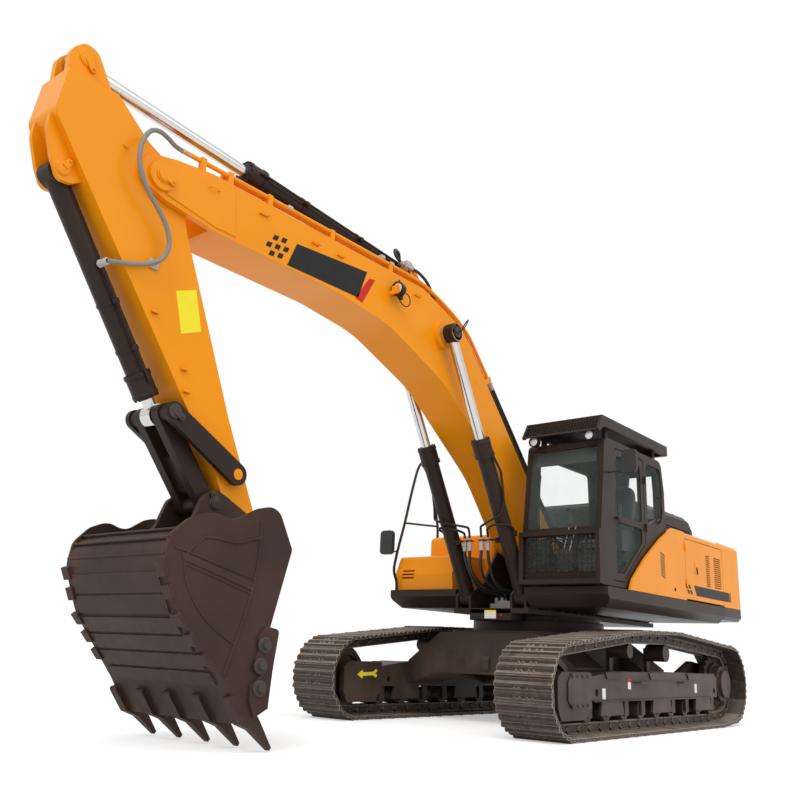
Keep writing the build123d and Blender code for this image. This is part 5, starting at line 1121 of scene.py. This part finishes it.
cushion = pad(at(-0.115, SEAT_MIDDLE - 0.245, 1.932), at(0.41, SEAT_MIDDLE + 0.245, 2.045), 0.012)
rest_, faces_ = pad((-0.055, -0.235, -0.37), (0.055, 0.235, 0.37), 0.0)
lean = atan2(0.14, 0.745)
turn_ = np.array([[cos(lean), 0, -sin(lean)], [0, 1, 0], [sin(lean), 0, cos(lean)]])
back_pad = (rest_ @ turn_.T + at(-0.175, SEAT_MIDDLE, 2.385), faces_)
head_, faces_ = pad((-0.045, -0.14, -0.09), (0.045, 0.14, 0.09), 0.0)
head_pad = (head_ @ turn_.T + at(-0.255, SEAT_MIDDLE, 2.83), faces_)
made = piece("seat_cushion", [cushion], "seat_cloth", "house")
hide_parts("seat")
stuffed(made, 0.008)
made = piece("seat_back", [back_pad], "seat_cloth", "house")
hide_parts("seat")
stuffed(made, 0.008)
made = piece("head_rest", [head_pad], "seat_cloth", "house")
stuffed(made, 0.006)
posts = [bushing(at(-0.245, SEAT_MIDDLE + y, 2.70), at(-0.252, SEAT_MIDDLE + y, 2.80), 0.008, 10)
         for y in (-0.07, 0.07)]
piece("head_rest_posts", posts, "zinc", "house")

# mirror glass, facing back
for name, (x, y, z), (w, h) in (("right", (0.984, -1.595, 2.055), (0.084, 0.134)),
                                ("left", (0.944, 1.69, 2.78), (0.068, 0.110))):
    piece(f"mirror_glass_{name}", [slab((x - 0.002, x + 0.0005), (y - w, y + w), (z - h, z + h), 0.001, 1)],
          "rod_chrome", "house")

# roof guard: lamps' glass and rims
LAMP_Z, LAMP_X = 3.063, 1.155
lens, rims = [], []
for y in (0.645, 1.330):
    c = at(LAMP_X + 0.030, y, LAMP_Z)
    lens.append(turned(c, c + (1, 0, 0), [(0.0005, 0.047), (0.006, 0.035), (0.009, 0.0)], 32))
    rims.append(turned(c, c + (1, 0, 0), [(-0.012, 0.0555), (-0.012, 0.060), (0.012, 0.060), (0.012, 0.050),
                                          (0.0, 0.047)], 32))
piece("cab_lamp_glass", lens, "lamp_lens", "house")
piece("cab_lamp_rims", rims, "dark_paint", "house")

# ---------------------------------------------------------------- floor, lamps and world
lay = bpy.data.meshes.new("floor")
lay.from_pydata([(-150, -150, -0.0006), (150, -150, -0.0006), (150, 150, -0.0006), (-150, 150, -0.0006)],
                [], [(0, 1, 2, 3)])
floor = bpy.data.objects.new("floor", lay)
scene.collection.objects.link(floor)


def seen(f):
    """1 for rays of the camera, of reflections and through glass."""
    return (f.node("ShaderNodeLightPath", out="Is Camera Ray")
            .most(f.node("ShaderNodeLightPath", out="Is Glossy Ray"))
            .most(f.node("ShaderNodeLightPath", out="Is Transmission Ray")))


ground = Finish("floor")
matt = ground.node("ShaderNodeBsdfDiffuse", inputs={"Color": rgb(0.8, 0.8, 0.8)})
glow = ground.node("ShaderNodeEmission", inputs={"Color": rgb(1, 1, 1), "Strength": 0.42})
both = ground.node("ShaderNodeAddShader", inputs={0: matt, 1: glow})
shown = ground.node("ShaderNodeMixShader", inputs={0: seen(ground), 1: matt, 2: both})
ground.tree.links.new(shown.socket, ground.out.inputs["Surface"])
lay.materials.append(ground.material)

world = bpy.data.worlds.new("studio")
scene.world = world
world.use_nodes = True
sky = Finish.__new__(Finish)
sky.tree = world.node_tree
sky.tree.nodes.clear()
sky.out = sky.tree.nodes.new("ShaderNodeOutputWorld")
soft = sky.node("ShaderNodeBackground", inputs={"Color": rgb(1, 1, 1), "Strength": 0.55})
white = sky.node("ShaderNodeBackground", inputs={"Color": rgb(1, 1, 1), "Strength": 1.0})
mixed = sky.node("ShaderNodeMixShader", inputs={0: seen(sky), 1: soft, 2: white})
sky.tree.links.new(mixed.socket, sky.out.inputs["Surface"])


def sun(name, heading, height, strength, spread_deg):
    """A soft distant light from a heading and height, in degrees."""
    data = bpy.data.lights.new(name, "SUN")
    data.energy, data.angle = strength, radians(spread_deg)
    lamp = bpy.data.objects.new(name, data)
    lamp.rotation_euler = (pi / 2 - radians(height), 0.0, radians(heading) + pi / 2)
    scene.collection.objects.link(lamp)


sun("key", 20.0, 48.0, 1.5, 35.0)
sun("fill", 95.0, 38.0, 0.75, 60.0)
